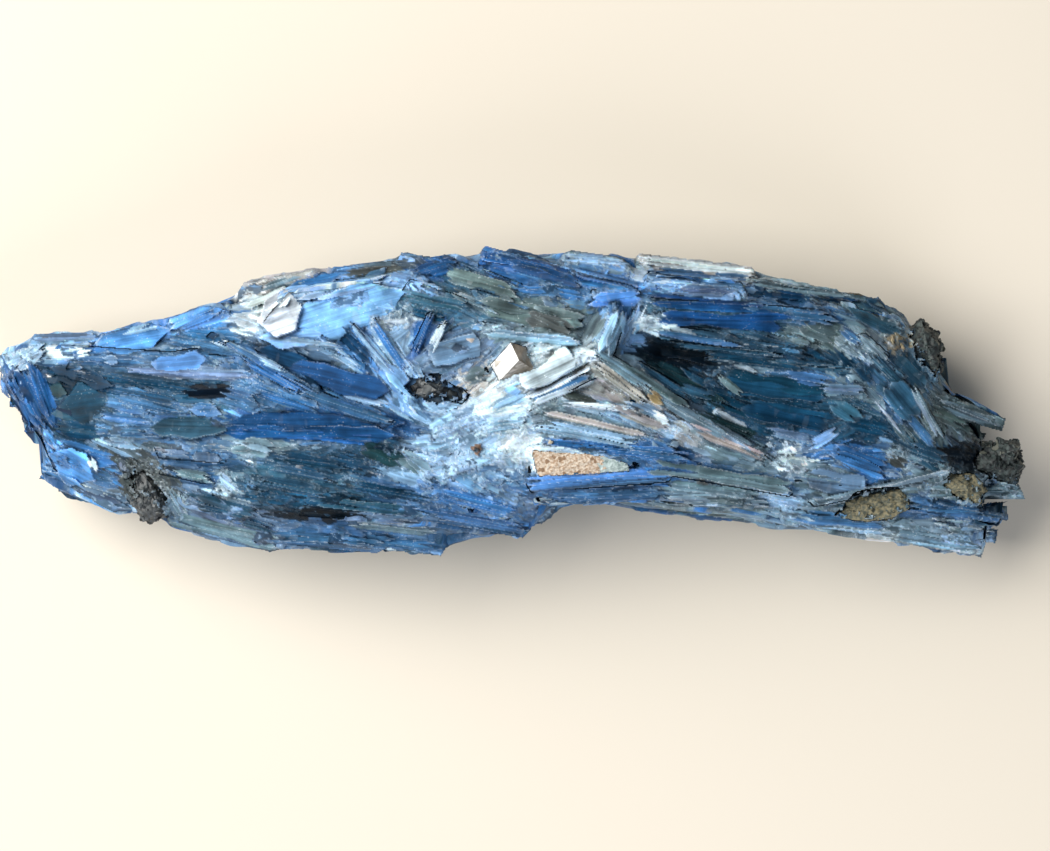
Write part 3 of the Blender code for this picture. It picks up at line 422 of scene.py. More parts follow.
    (920, 492, 1020, 494, 12, T.GREY, 5, 0.2, 0.3), (898, 504, 1006, 514, 12, T.STEEL, 5, 0.3, 0.3),
    (924, 520, 998, 534, 12, T.GREY, 5, 0.2, 0.3),
    # the near side of the second half
    (642, 464, 788, 486, 10, T.GREY, 2, 0.5, 0.1), (650, 482, 760, 494, 9, T.GREY, 3, 0.3),
    (660, 498, 770, 504, 9, T.GREY, 3, 0.2), (692, 478, 708, 484, 8, T.SMOKE, 1, 0.4),
    (748, 492, 800, 502, 11, T.PALE, 6, 0.3, 0.4), (786, 514, 888, 524, 12, T.STEEL, 4, 0.3),
    (790, 526, 900, 538, 8, T.PALE, 4, 0.3, 0.3), (880, 536, 984, 552, 6, T.PALE, 3, 0.3, 0.3),
    (864, 528, 980, 548, 11, T.GREY, 5, 0.1, 0.3),
))


@dataclass(frozen=True)
class BladePlan:
    """Which tone and which direction the blades have at any chart place."""

    patches: Sequence[Patch] = PATCHES
    flow: Sequence[tuple[float, float, float]] = FLOW
    reach: float = 14.0  # chart steps over which the run of the blades turns
    sharpness: float = 2.2  # how sharply a patch ends
    stray: float = 0.009  # the share of blades with a tone from any patch
    own: float = 0.5  # how much of its own tone a blade shows, against the tones round it

    def direction(self, x: float, y: float) -> float:
        """Gives the run of the blades.

        Args:
            x: the chart place along the specimen.
            y: the chart place across it.

        Returns:
            The angle above the specimen's length, in radians. A blade has no front end, so the angles are
            averaged at twice their size.
        """
        table = np.array(self.flow)
        near = ((table[:, 0] - x) ** 2 + (table[:, 1] - y) ** 2 + self.reach**2) ** -2.0
        double = np.radians(2 * table[:, 2])
        return 0.5 * math.atan2((near * np.sin(double)).sum(), (near * np.cos(double)).sum())

    def look(self, x: float, y: float, rng: np.random.Generator) -> tuple[Array, float]:
        """Picks a look for a blade, more often the one that prevails there.

        Args:
            x: the chart place along the specimen.
            y: the chart place across it.
            rng: the random numbers to draw from.

        Returns:
            Its linear colour and how frosted it is.
        """
        share = self.shares(np.array([x]), np.array([y]))[0]
        looks = self.looks()
        chosen = looks[int(rng.choice(len(looks), p=share))]
        look = self.own * chosen + (1 - self.own) * (share @ looks)
        return look[:3], float(look[3])

    def looks(self) -> Array:
        """The linear colour and the frost of every patch, one a row."""
        return np.array([(*linear(patch.tone.value[0]), patch.tone.value[1]) for patch in self.patches])

    def shares(self, x: Array, y: Array) -> Array:
        """Finds how much each patch prevails at many chart places.

        Args:
            x: the places along the specimen.
            y: the places across it.

        Returns:
            The shares, which add up to 1 in each row, with a row for each place.
        """
        table = np.array([patch[:5] for patch in self.patches]).T[:, None]
        turn = np.radians(table[4])
        aside, down = x[:, None] - table[0], y[:, None] - table[1]
        along = aside * np.cos(turn) - down * np.sin(turn)
        across = aside * np.sin(turn) + down * np.cos(turn)
        share = np.exp(-self.sharpness * ((along / table[2]) ** 2 + (across / table[3]) ** 2))
        share = share * np.array([patch.weight for patch in self.patches]) + self.stray / len(self.patches)
        return share / share.sum(1, keepdims=True)


class Surface:
    """The surface of a mesh, for finding how far away it is."""

    def __init__(self, mesh: bpy.types.Mesh) -> None:
        """Reads the triangles.

        Args:
            mesh: the mesh, in world coordinates.
        """
        mesh.calc_loop_triangles()
        corners = [vert.co.copy() for vert in mesh.vertices]
        faces = [tuple(triangle.vertices) for triangle in mesh.loop_triangles]
        self.tree = BVHTree.FromPolygons(corners, faces)
        self.corners = np.array(corners)

    def depth(self, points: Array, direction: Array) -> Array:
        """Finds how far it is to the surface from many points.

        Args:
            points: where the rays start, one a row.
            direction: the way that each ray goes, one a row.

        Returns:
            The distances, with infinity where a ray misses.
        """
        cast = self.tree.ray_cast
        found = (cast(Vector(point), Vector(way))[3] for point, way in zip(points, direction))
        return np.array([math.inf if distance is None else distance for distance in found])


# --- Laths and the skins that they raise ------------------------------


@dataclass
class Lath:
    """One thin crystal in a skin. Lengths are in millimetres."""

    row: float
    column: float
    angle: float
    length: float
    width: float
    lift: float
    tint: Array
    frost: float
    roll: float = 0.0  # rise for each millimetre across
    pitch: float = 0.0  # rise for each millimetre along
    hug: float = 0.2  # how far its flat face may leave the solid under it
    fibre: float = 0.03  # height of its fibres
    ragged: float = 0.6  # how far single fibres end early
    taper: float = 1.0  # how far from its ends it narrows
    charted: bool = False  # a large blade, which smaller laths give way to
    bend: float = 0.0  # how far it bows aside, for each millimetre squared along


class Fibres:
    """Patterns that the laths share: fibres side by side, ends broken unevenly, and wavy edges."""

    across_step = 0.05  # millimetres between rows of a pattern
    along_step = 0.25  # millimetres between its columns
    rows, columns = 512, 1024  # powers of two, like both lengths below, so that the patterns repeat
    wave_length = 4096
    breaks_length = 8192

    def __init__(self, rng: np.random.Generator) -> None:
        """Draws the patterns.

        Args:
            rng: the random numbers to draw from.
        """
        coarse = self.smooth(rng.normal(size=(self.rows, self.columns)), 5.0, 12.0)
        fine = self.smooth(rng.normal(size=(self.rows, self.columns)), 2.2, 7.0)
        self.relief = (0.7 * coarse + 0.5 * fine).astype(np.float32)
        self.wave = self.smooth(rng.normal(size=(1, self.wave_length)), 0.0, 5.0)[0]
        widths = rng.integers(3, 12, self.wave_length)
        self.breaks = np.repeat(rng.random(self.wave_length) ** 2, widths)[: self.breaks_length]

    @staticmethod
    def smooth(field: Array, across: float, along: float) -> Array:
        """Smooths noise, and evens its strength to 1.

        Args:
            field: the noise.
            across: over how many rows it is smoothed.
            along: over how many columns.

        Returns:
            The smoothed noise.
        """
        spectrum = np.fft.rfft2(field)
        rows = np.fft.fftfreq(field.shape[0])[:, None] * across
        columns = np.fft.rfftfreq(field.shape[1])[None, :] * along
        smoothed = np.fft.irfft2(spectrum * np.exp(-2 * math.pi**2 * (rows**2 + columns**2)), field.shape)
        return smoothed / smoothed.std()

    def at(self, along: Array, across: Array, start: Array) -> Array:
        """Gives the height of the fibres, about 0.

        Args:
            along: places along the lath, in millimetres.
            across: places across it.
            start: the column and the row of the pattern that the lath's middle takes.

        Returns:
            The height at each place.
        """
        column = ((along / self.along_step) + start[0]).astype(np.int32) & (self.columns - 1)
        row = ((across / self.across_step) + start[1]).astype(np.int32) & (self.rows - 1)
        return self.relief[row, column]

    def ends(self, across: Array, start: int) -> Array:
        """How early the fibres end, from 0 to 1, at places in millimetres."""
        return self.breaks[((across / self.across_step) + start).astype(np.int32) & (self.breaks_length - 1)]

    def edge(self, along: Array, start: int) -> Array:
        """How an edge wanders, about 0, at places in millimetres."""
        return self.wave[((along / self.along_step) + start).astype(np.int32) & (self.wave_length - 1)]


class Skin:
    """A sheet of points over one side of the solid, which rises wherever a lath lies."""

    floor = 0.05 * MM
    ceiling = CAD_BOX[1][2] + 0.8 * MM
    frosted = linear("#cfe3f1")
    lid_gap = 0.12 * MM  # how far the lower sheet stays under the upper one
    wall = 1.35 * MM  # a rise over two cells that counts as a wall
    wall_reach = 7  # how many cells beside a wall the laths on it may stand over
    start_height = 0.03  # millimetres
    corner_steps = ((0, 0), (1, 0), (1, 1), (0, 1))  # from a face's first corner to each, in rows and columns
    flattest = 0.15  # a lath lies where at least this share of its run is along the sheet
    ragged_length = 3.0  # a lath shorter than these millimetres is less ragged
    wander = 0.24  # how far an edge strays, as a share of the half width
    give_way = 0.2  # how much lower a small lath lies on a charted blade, in millimetres
    edge_width = 0.16  # how far in from its edge a lath is frosted, in millimetres
    end_width = 0.45  # how far in from its broken ends it is paler, in millimetres
    end_frost = 0.7  # how much of a lath's frost its broken ends show
    narrowest = 0.12  # how wide a lath's tip is, as a share of its width
    other_edge = 977  # how far on in the pattern its second edge starts
    fibre_shade = 0.15  # how much lighter a high fibre is
    painted_side_light = 0.22  # how much lighter one side of a lath is painted than its middle, with the other side darker: painted light and shade
    near_reach = 4  # cells over which a hollow or a ridge is told from its surroundings
    hollow_most, ridge_most = 0.7, 0.3  # millimetres past which neither shows more
    ridge_least = 0.04  # millimetres that a ridge stands out at least
    painted_hollow_shade = 2.8  # how much darker a hollow is painted, as painted shade, for each millimetre
    hollow_dulls = 2.5  # how much less of its frosted edges a hollow shows, for each millimetre, as painted shade
    ridge_shows = 1.6  # how much more of them a ridge shows, for each millimetre
    sharp_angle = math.radians(38)  # an edge that is steeper isn't shaded as a round one

    def __init__(
        self, name: str, origin: Array, out: Array, ground: Array, cell: tuple[float, float]
    ) -> None:
        """Lays the sheet on the solid.

        Args:
            name: the skin's name.
            origin: where each point's line starts, by row and column.
            out: the way that each line goes.
            ground: how far along its line each point meets the solid, or infinity where it doesn't.
            cell: the distance between rows and between columns, in millimetres.
        """
        self.name, self.origin, self.out, self.cell = name, origin, out, cell
        self.solid = np.isfinite(ground)
        self.free = self.solid.copy()
        self.ground = np.where(self.solid, ground, 0.0)
        self.base = origin + out * self.ground[..., None]
        self.height = np.full(ground.shape, self.start_height)
        self.tint = np.zeros((*ground.shape, 3))
        self.grain = np.zeros((*ground.shape, 3))
        self.rim = np.zeros(ground.shape)
        self.frost = np.zeros(ground.shape)
        self.claimed = np.zeros(ground.shape)
        self.fibres = Fibres(generator(name))
        self.rng = generator(f"{name} laths")

    @staticmethod
    def widest(field: Array) -> Array:
        """Finds the greatest of each value and its neighbours.

        Args:
            field: the values, by row and column.

        Returns:
            The greatest at each place.
        """
        grown = field.copy()
        for axis in (0, 1):
            for shift in (-1, 1):
                grown = np.maximum(grown, np.roll(field, shift, axis))
        return grown

    @staticmethod
    def box_mean(field: Array, reach: int) -> Array:
        """Finds the mean over a square of cells round each cell.

        Args:
            field: the values, by row and column.
            reach: how many cells the square reaches each way.

        Returns:
            The mean at each place.
        """
        mean = field
        for axis in (0, 1):
            padding = [(reach + 1, reach) if a == axis else (0, 0) for a in (0, 1)]
            total = np.cumsum(np.pad(mean, padding, mode="edge"), axis=axis)
            ahead = np.take(total, np.arange(2 * reach + 1, total.shape[axis]), axis=axis)
            behind = np.take(total, np.arange(0, total.shape[axis] - 2 * reach - 1), axis=axis)
            mean = (ahead - behind) / (2 * reach + 1)
        return mean

    def evened(self, field: Array, share: float) -> Array:
        """Values with a share of the mean round each cell mixed in."""
        return (1 - share) * field + share * self.box_mean(field, 1)

    def soften(self, reach: int, low: float, high: float) -> None:
        """Evens out the steps of the solid, within limits.

        Args:
            reach: over how many cells the ground is evened out.
            low: how far under the solid the sheet may come, in metres.
            high: how far over the solid it may come, in metres.
        """
        solid = self.solid.astype(float)
        ground = np.where(self.solid, self.ground, 0.0)
        even = self.box_mean(self.box_mean(ground, reach), reach)
        even = even / np.maximum(self.box_mean(self.box_mean(solid, reach), reach), 0.02)
        self.follow(np.where(self.solid, np.clip(even, self.ground - low, self.ground + high), self.ground))

    def follow(self, ground: Array) -> None:
        """Lays the sheet on a new ground."""
        self.ground = ground
        self.base = self.origin + self.out * ground[..., None]

    def colour(self, plan: "BladePlan", step: int, dim: float) -> None:
        """Gives the sheet the tones that prevail, dimmed as painted shade, for where no lath comes to lie.

        Args:
            plan: the tones.
            step: how many cells apart they are worked out.
            dim: how bright the gaps are against the laths, darkened as painted shade.
        """
        rows, columns = self.solid.shape
        coarse = self.base[::step, ::step]
        places = to_chart(coarse.reshape(-1, 3))
        looks = plan.shares(places[:, 0], places[:, 1]) @ plan.looks()
        tints = looks[:, :3].reshape(coarse.shape) * dim
        wide = np.repeat(np.repeat(tints, step, axis=0), step, axis=1)[:rows, :columns]
        for channel in range(3):
            self.tint[..., channel] = self.box_mean(wide[..., channel], step)

    def place(self, row: float, column: float) -> tuple[int, int]:
        """The nearest cell to a place on the sheet."""
        rows, columns = self.solid.shape
        return min(max(round(row), 0), rows - 1), min(max(round(column), 0), columns - 1)

    def lay(self, lath: Lath) -> None:
        """Raises the sheet over one lath, wherever the lath is higher than what lies there.

        Args:
            lath: the lath.
        """
        draws = self.rng.integers(0, self.fibres.wave_length, 6)
        cell = self.place(lath.row, lath.column)
        if not self.solid[cell]:
            return
        up = self.out[cell]
        wish = np.array((math.cos(lath.angle), math.sin(lath.angle), 0.0))
        along = wish - up * wish.dot(up)
        size = np.linalg.norm(along)
        if size < self.flattest:
            return
        along = along / size
        window = self.window(cell, along, lath)
        away = (self.base[window] - self.base[cell]) / MM
        u, v, w = away @ along, away @ np.cross(up, along), away @ up
        v = v - lath.bend * u * u
        half_length, half_width = lath.length / 2, lath.width / 2
        early = lath.ragged * min(1.0, lath.length / self.ragged_length)
        from_start = u + half_length - early * self.fibres.ends(v, draws[0])
        from_end = half_length - u - early * self.fibres.ends(v, draws[1])
        from_tip = np.minimum(half_length + u, half_length - u)
        narrowing = np.clip(from_tip / max(lath.taper, 0.05), self.narrowest, 1.0)
        other_start = draws[2] + self.other_edge
        wander = np.where(v > 0, self.fibres.edge(u, draws[2]), self.fibres.edge(u, other_start))
        edge = half_width * narrowing * (1 + self.wander * wander)
        inset = np.minimum(edge - np.abs(v), np.minimum(from_start, from_end))
        inside = (inset > 0) & self.free[window]
        if inside.sum() < 3:
            return
        fit = self.flat_face(u[inside], v[inside], w[inside])
        face = fit[0] + fit[1] * u + fit[2] * v
        height = np.clip(face - w, -lath.hug, lath.hug) + lath.lift + lath.roll * v + lath.pitch * u
        fibre = self.fibres.at(u, v, draws[3:5])
        height = height + lath.fibre * fibre
        if lath.charted:
            self.claimed[window] = np.where(inside, 1.0, self.claimed[window])
        else:
            height = height - self.give_way * self.claimed[window]
        better = inside & (height > self.height[window])
        if not better.any():
            return
        self.height[window] = np.where(better, height, self.height[window])
        # painted light and shade: one side of the lath is made lighter and the other darker, the side drawn
        # at random
        side_light_and_shade = self.painted_side_light * np.clip(v / half_width, -1, 1) * (1 if draws[5] % 4 < 2 else -1)
        shade = np.exp(self.fibre_shade * np.clip(fibre, -2.5, 2.5) + side_light_and_shade)[..., None]
        broken = np.clip(np.minimum(from_start, from_end), 0, None)
        pale = (self.end_frost * lath.frost * np.exp(-broken / self.end_width))[..., None]
        look = lath.tint * shade * (1 - pale) + np.array(self.frosted) * pale
        self.tint[window] = np.where(better[..., None], look, self.tint[window])
        seed = float(draws[5]) / 40
        grain = np.stack([u + seed, v + seed, np.full(u.shape, seed)], -1)
        self.grain[window] = np.where(better[..., None], grain, self.grain[window])
        side = 0.35 + 0.65 * ((v > 0) == (draws[5] % 2 == 0))
        rim = np.exp(-np.clip(inset, 0, None) / self.edge_width) * side
        self.rim[window] = np.where(better, rim, self.rim[window])
        self.frost[window] = np.where(better, lath.frost, self.frost[window])

    def window(self, cell: tuple[int, int], along: Array, lath: Lath) -> tuple[slice, slice]:
        """Finds the rows and columns that a lath can reach.

        Args:
            cell: the cell under its middle.
            along: the way that it runs.
            lath: the lath.

        Returns:
            The rows and the columns.
        """
        half_rows = int((lath.length * math.hypot(along[1], along[2]) + lath.width) / 2 / self.cell[0]) + 2
        half_columns = int((lath.length * abs(along[0]) + lath.width) / 2 / self.cell[1]) + 2
        return (
            slice(max(0, cell[0] - half_rows), cell[0] + half_rows + 1),
            slice(max(0, cell[1] - half_columns), cell[1] + half_columns + 1),
        )

    @staticmethod
    def flat_face(u: Array, v: Array, w: Array) -> Array:
        """Fits a flat face to the solid under a lath, with less weight on places far off it.

        Args:
            u: the places along the lath, in millimetres.
            v: the places across it.
            w: how high the solid is there.

        Returns:
            The face's height at the lath's middle, and its rise along and across.
        """
        step = max(1, len(u) // 80)
        table = np.stack([np.ones_like(u), u, v], 1)[::step]
        level = w[::step]
        weight = np.ones(len(level))
        fit = np.zeros(3)
        for _ in range(2):
            scaled = table * weight[:, None]
            matrix = scaled.T @ table + np.eye(3) * 1e-3
            fit = np.linalg.solve(matrix, scaled.T @ level)
            weight = 1 / (1 + ((level - table @ fit) / 0.3) ** 2)
        return fit

    def settle(self, border: int, sunk: Array, depth: float, dimmed: bool) -> None:
        """Brings the edges of the sheet down on the solid, darkens its hollows with painted shade, and marks
        ridges.

        Args:
            border: over how many cells the sheet comes down.
            sunk: how much of its height each point loses, from 0 to 1.
            depth: how far under the surface a sunk point lies, in millimetres.
            dimmed: whether a sunk point gets a hollow's painted shade.
        """
        inner = self.solid.astype(float)
        share = np.zeros_like(inner)
        for _ in range(border):
            inner = -self.widest(-inner)
            share += inner / border
        self.height = self.evened(self.height, 0.3)
        for channel in range(3):
            self.tint[..., channel] = self.evened(self.tint[..., channel], 0.25)
        share = share * (1 - sunk)
        self.height = self.height * share - depth * sunk
        whole = np.maximum(self.box_mean(self.solid.astype(float), self.near_reach), 0.05)
        near = self.box_mean(np.where(self.solid, self.height, 0), self.near_reach) / whole
        hollow = np.clip(near - self.height, 0, self.hollow_most) * (1 if dimmed else 1 - sunk)
        ridge = np.clip(self.height - near - self.ridge_least, 0, self.ridge_most)
        # painted shade: a hollow's tint is darkened here, and its frosted edges are dulled below
        self.tint = self.tint * np.exp(-self.painted_hollow_shade * hollow)[..., None]
        self.rim = np.clip(self.rim * np.exp(-self.hollow_dulls * hollow) + self.ridge_shows * ridge, 0, 1)

    def upwards(self) -> Array:
        """Finds how much the ground faces up.

        Returns:
            A value from -1 to 1 for each point.
        """
        facing = np.cross(np.gradient(self.base, axis=0), np.gradient(self.base, axis=1))
        facing = facing * np.sign((facing * self.out).sum(-1, keepdims=True))
        size = np.maximum(np.linalg.norm(facing, axis=-1), 1e-12)
        return self.box_mean(facing[..., 2] / size, 1)

    def level_over(self, points: Array) -> Array:
        """Finds how high this sheet, seen straight down, lies over or under points.

        Args:
            points: the points, by row and column.

        Returns:
            The sheet's height at each point, or infinity beside the sheet. By a wall it is the wall's top,
            so that laths can lie on the wall.
        """
        rows, columns = self.solid.shape
        places = to_chart(points.reshape(-1, 3)) - to_chart(self.origin[0, :1])
        column, row = np.rint(places).astype(int).T
        inside = (row >= 0) & (row < rows) & (column >= 0) & (column < columns)
        level = self.ground + self.height * MM
        lowest = -self.widest(-np.where(self.solid, level, math.inf))
        highest = self.widest(np.where(self.solid, level, -math.inf))
        steep = highest - lowest > self.wall
        for _ in range(self.wall_reach):
            steep, highest = self.widest(steep), self.widest(highest)
        level = np.where(steep, highest, lowest)
        found = np.full(len(places), math.inf)
        found[inside] = level[row[inside], column[inside]]
        return found.reshape(points.shape[:-1])

    def pieces(
        self, borders: Sequence[int], steep: float, lid: Optional["Skin"] = None
    ) -> list[bpy.types.Object]:
        """Makes the sheet into meshes.

        Args:
            borders: the columns where one mesh ends and the next starts.
            steep: the greatest rise from one point to the next that is still joined, in metres.
            lid: a sheet seen straight down that this one stays under.

        Returns:
            The new objects.
        """
        points = self.origin + self.out * (self.ground + self.height * MM)[..., None]
        if lid is not None:
            points[..., 2] = np.minimum(points[..., 2], lid.level_over(points) - self.lid_gap)
        points[..., 2] = np.clip(points[..., 2], self.floor, self.ceiling)
        made = []
        for number, (first, last) in enumerate(zip(borders, borders[1:])):
            part = (slice(None), slice(first, last + 1))
            solid, level = self.solid[part], self.ground[part]
            rows, columns = solid.shape[0] - 1, solid.shape[1] - 1
            corners = [(slice(r, r + rows), slice(c, c + columns)) for r, c in self.corner_steps]
            levels = np.stack([level[corner] for corner in corners])
            joined = np.logical_and.reduce([solid[corner] for corner in corners])
            joined &= levels.max(0) - levels.min(0) < steep
            used = np.zeros(solid.shape, bool)
            for corner in corners:
                used[corner] |= joined
            index = np.cumsum(used.ravel()).reshape(used.shape) - 1
            row, column = np.nonzero(joined)
            quads = np.stack([index[row + r, column + c] for r, c in self.corner_steps], 1)
            made.append(self.piece(f"{self.name}_{number + 1}", part, used, quads, points))
        return made

    def piece(
        self, name: str, part: tuple[slice, slice], used: Array, quads: Array, points: Array
    ) -> bpy.types.Object:
        """Makes one mesh, with each point's look and a sheet for its textures.

        Args:
            name: the new object's name.
            part: the rows and columns that it takes.
            used: which of those points it has.
            quads: its faces, as corner numbers.
            points: where every point of the sheet is.

        Returns:
            The object.
        """
        mesh = bpy.data.meshes.new(name)
        mesh.from_pydata(points[part][used].tolist(), [], quads.tolist())
        tint = np.ones((int(used.sum()), 4))
        tint[:, :3] = np.clip(self.tint[part][used], 0, 0.95)
        for look, kind, value, numbers in (
            ("tint", "FLOAT_COLOR", "color", tint),
            ("grain", "FLOAT_VECTOR", "vector", self.grain[part][used]),
            ("rim", "FLOAT", "value", self.rim[part][used]),
            ("frost", "FLOAT", "value", self.frost[part][used]),
        ):
            mesh.attributes.new(look, kind, "POINT").data.foreach_set(value, numbers.ravel())
        row, column = np.nonzero(used)
        place = np.stack([(column + 0.5) / used.shape[1], (row + 0.5) / used.shape[0]], 1)
        sheet = mesh.uv_layers.new(name="OFBake")
        sheet.uv.foreach_set("vector", place[quads.ravel()].ravel())
        mesh.polygons.foreach_set("use_smooth", np.ones(len(quads), bool))
        mesh.set_sharp_from_angle(angle=self.sharp_angle)
        return add_object(name, mesh)


class Crumble(NamedTuple):
    """A sugary stretch of the upper surface, broken into short bits that lie every way."""

    x: float
    y: float
    length: float
    width: float
    turn: float
    bits: int
    lift: float = 0.25
    size: float = 1.0  # of its bits, against the usual


CRUMBLES = tuple(Crumble(*row) for row in (
    (478, 448, 58, 34, 10, 620, 0.25), (500, 415, 34, 14, 15, 160, 0.2), (528, 450, 10, 34, 0, 110, 0.25),
    (205, 316, 32, 13, 20, 240, 0.3), (400, 318, 42, 20, -5, 300, 0.3), (582, 266, 28, 11, -8, 130, 0.3),
    (600, 292, 24, 14, -5, 120, 0.3), (638, 282, 12, 24, 0, 100, 0.25), (612, 335, 15, 28, 0, 130, 0.3),
    (704, 292, 40, 8, -5, 110, 0.25), (18, 360, 24, 10, 40, 120, 0.2), (176, 505, 14, 18, 0, 90, 0.35),
    (232, 484, 12, 14, 0, 60, 0.35), (96, 462, 10, 12, 0, 40, 0.3), (416, 466, 18, 14, 0, 90, 0.25),
    (470, 505, 50, 12, -20, 200, 0.2), (786, 448, 22, 18, 0, 130, 0.3), (895, 462, 14, 16, 0, 80, 0.3),
    (900, 345, 24, 14, -30, 90, 0.3, 1.1), (925, 365, 14, 30, -20, 130, 0.4, 1.2),
    (975, 465, 40, 16, -8, 170, 0.4, 1.3), (950, 486, 34, 12, 5, 140, 0.3),
    (866, 505, 34, 12, 8, 130, 0.3, 0.8), (985, 505, 28, 24, 0, 200, 0.35, 1.2),
    (960, 535, 34, 14, -10, 130, 0.3), (660, 322, 24, 7, 0, 60, 0.25), (772, 500, 26, 10, -8, 80, 0.25),
    (150, 480, 26, 22, 0, 200, 0.45, 0.9), (385, 453, 22, 14, 0, 90, 0.3, 0.9),
))


class Litter(NamedTuple):
    """One sort of small lath, with its least and greatest sizes in millimetres."""

    count: int
    length: tuple[float, float]
    width: tuple[float, float]
    spread: float  # how much lighter or darker than their surroundings
    lift: tuple[float, float]  # the least height, and how much more the highest has


class Opening(NamedTuple):
    """Where a grain of another mineral shows through the upper skin."""

    grain: bpy.types.Object
    fringe: int  # chart steps over which laths straggle over its border


@dataclass
class Core:
    """The fused blades under the skins, drawn in a little so that the skins lie over them everywhere."""

    node: str = CLUSTER
    name: str = "fused_blades"
    inset: float = 0.55 * MM  # how far it is drawn in

    def build(self, material: bpy.types.Material) -> None:
        """Makes the core in place of the solid.

        Args:
            material: its finish.
        """
        bm = solid_form(self.node)
        bm.normal_update()
        moved = [vert.co - vert.normal * self.inset for vert in bm.verts]
        for vert, place in zip(bm.verts, moved):
            vert.co = Vector((place.x, place.y, max(place.z, Skin.floor)))
        piece = add_object(self.name, mesh_from(bm, self.name))
        piece.data.materials.append(material)
        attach(piece, "root")
        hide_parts(self.node)
        LOG.info("%s: %d faces", piece.name, len(piece.data.polygons))


@dataclass
class BladeCover:
    """Both skins: one over the upper side, and one round the flanks and the underside."""

    surface: Surface
    openings: Sequence[Opening]
    plan: BladePlan = field(default_factory=BladePlan)
    rows: tuple[int, int] = (240, 568)  # chart rows of the upper skin
    columns: int = 1040  # its chart columns
    borders: tuple[int, ...] = (0, 230, 430, 630, 830, 1039)  # where one mesh of it ends
    fine: float = 0.15  # millimetres between its points
    lap: int = 6  # cells over which it bridges the gap round a grain
    upper_tear: float = 0.9 * MM  # a rise from one point to the next that leaves a gap in it
    coarse: float = 0.42  # millimetres between points of the lower skin
    coarse_row: float = 0.38  # millimetres between its rows, about
    turn: float = 0.021  # radians between its rows
    arc: tuple[float, float] = (0.62, -3.76)  # radians above the far side where it starts and ends
    lower_tear: float = 6 * MM  # a rise that leaves a gap in it
    spine_reach: float = 8 * MM  # how far along the specimen its middle is found from
    spine_even: int = 25  # stations over which that middle is evened out
    spine_height: float = 0.45  # its height, as a share of the specimen's
    face_up: float = 0.25  # ground that faces up more than this is left to the upper skin
    face_blend: float = 0.15  # over how much more it is given up
    tint_step: int = 6  # cells over which the tones between the laths change
    painted_gap_shade: float = 0.45  # how bright the gaps are against the laths, darkened as painted shade
    litter: tuple[Litter, ...] = (
        Litter(8500, (1.2, 8.5), (0.3, 1.9), 0.13, (0.05, 0.27)),
        Litter(4200, (0.8, 6.0), (0.12, 0.5), 0.5, (0.12, 0.24)),
    )
    flank_fillers: int = 6800  # laths of the lower skin
    flank_length: tuple[float, float] = (4.0, 24.0)  # their least and greatest sizes, in millimetres
    flank_width: tuple[float, float] = (0.7, 2.6)
    flank_low: float = -0.35  # how far a lath may face down and still have the tones of the top over it
    flank_like_top: float = 0.65  # the share of laths above that which have them
    flank_tones: tuple[Tone, ...] = (
        T.STEEL, T.TEAL, T.SLATE, T.BLUE, T.DEEP, T.NAVY, T.MAUVE, T.OLIVE, T.PALE,
    )
    made: list[bpy.types.Object] = field(default_factory=list)

    def upper_sheet(self) -> Skin:
        """Lays out the fine skin, which sees the solid from above.

        Returns:
            The skin, with no laths yet.
        """
        x, y = np.meshgrid(np.arange(self.columns), np.arange(*self.rows))
        flat = (x - CHART_CENTRE[0]) * STEP, (CHART_CENTRE[1] - y) * STEP, np.zeros(x.shape)
        origin = np.stack(flat, -1)
        out = np.broadcast_to(UP, origin.shape)
        ground = self.ground_from(self.surface, origin, out)
        return Skin("upper_laths", origin, out, ground, (self.fine, self.fine))

    def lower_sheet(self) -> Skin:
        """Lays out the coarser skin, which sees the solid from all round its length.

        Returns:
            The skin, with no laths yet.
        """
        length = self.surface.corners[:, 0]
        stations = np.arange(length.min() + 0.4 * MM, length.max() - 0.4 * MM, self.coarse * MM)
        angle = np.arange(self.arc[0], self.arc[1], -self.turn)
        origin = np.zeros((len(angle), len(stations), 3))
        origin[..., 0] = stations
        origin[..., 1:] = self.spine(stations)
        out = np.zeros(origin.shape)
        out[..., 1] = np.cos(angle)[:, None]
        out[..., 2] = np.sin(angle)[:, None]
        ground = self.ground_from(self.surface, origin, out)
        ground[ground < 0] = -math.inf
        return Skin("lower_laths", origin, out, ground, (self.coarse_row, self.coarse))

    def spine(self, stations: Array) -> Array:
        """Finds the line inside the specimen that the lower skin sees it from.

        Args:
            stations: the places along the specimen, in metres.

        Returns:
            How far the line lies towards the far side and how high, a row for each station.
        """
        corners = self.surface.corners
        middle = []
        for x in stations:
            near = corners[np.abs(corners[:, 0] - x) < self.spine_reach]
            across, height = near[:, 1], near[:, 2]
            middle.append(((across.min() + across.max()) / 2, height.max() * self.spine_height))
        kernel = np.hanning(self.spine_even)
        beside = self.spine_even // 2
        padded = np.pad(np.array(middle), ((beside, beside), (0, 0)), mode="edge")
        return np.stack([np.convolve(line, kernel / kernel.sum(), mode="valid") for line in padded.T], 1)

    @staticmethod
    def ground_from(surface: Surface, origin: Array, out: Array) -> Array:
        """Finds where lines that come in from outside meet a surface.

        Args:
            surface: the surface.
            origin: where each point's line starts, by row and column.
            out: the way that each line goes.

        Returns:
            How far along its line each point meets the surface, or minus infinity where it doesn't.
        """
        start = (origin + out * RAY_START).reshape(-1, 3)
        depth = surface.depth(start, -out.reshape(-1, 3)).reshape(origin.shape[:2])
        return RAY_START - depth

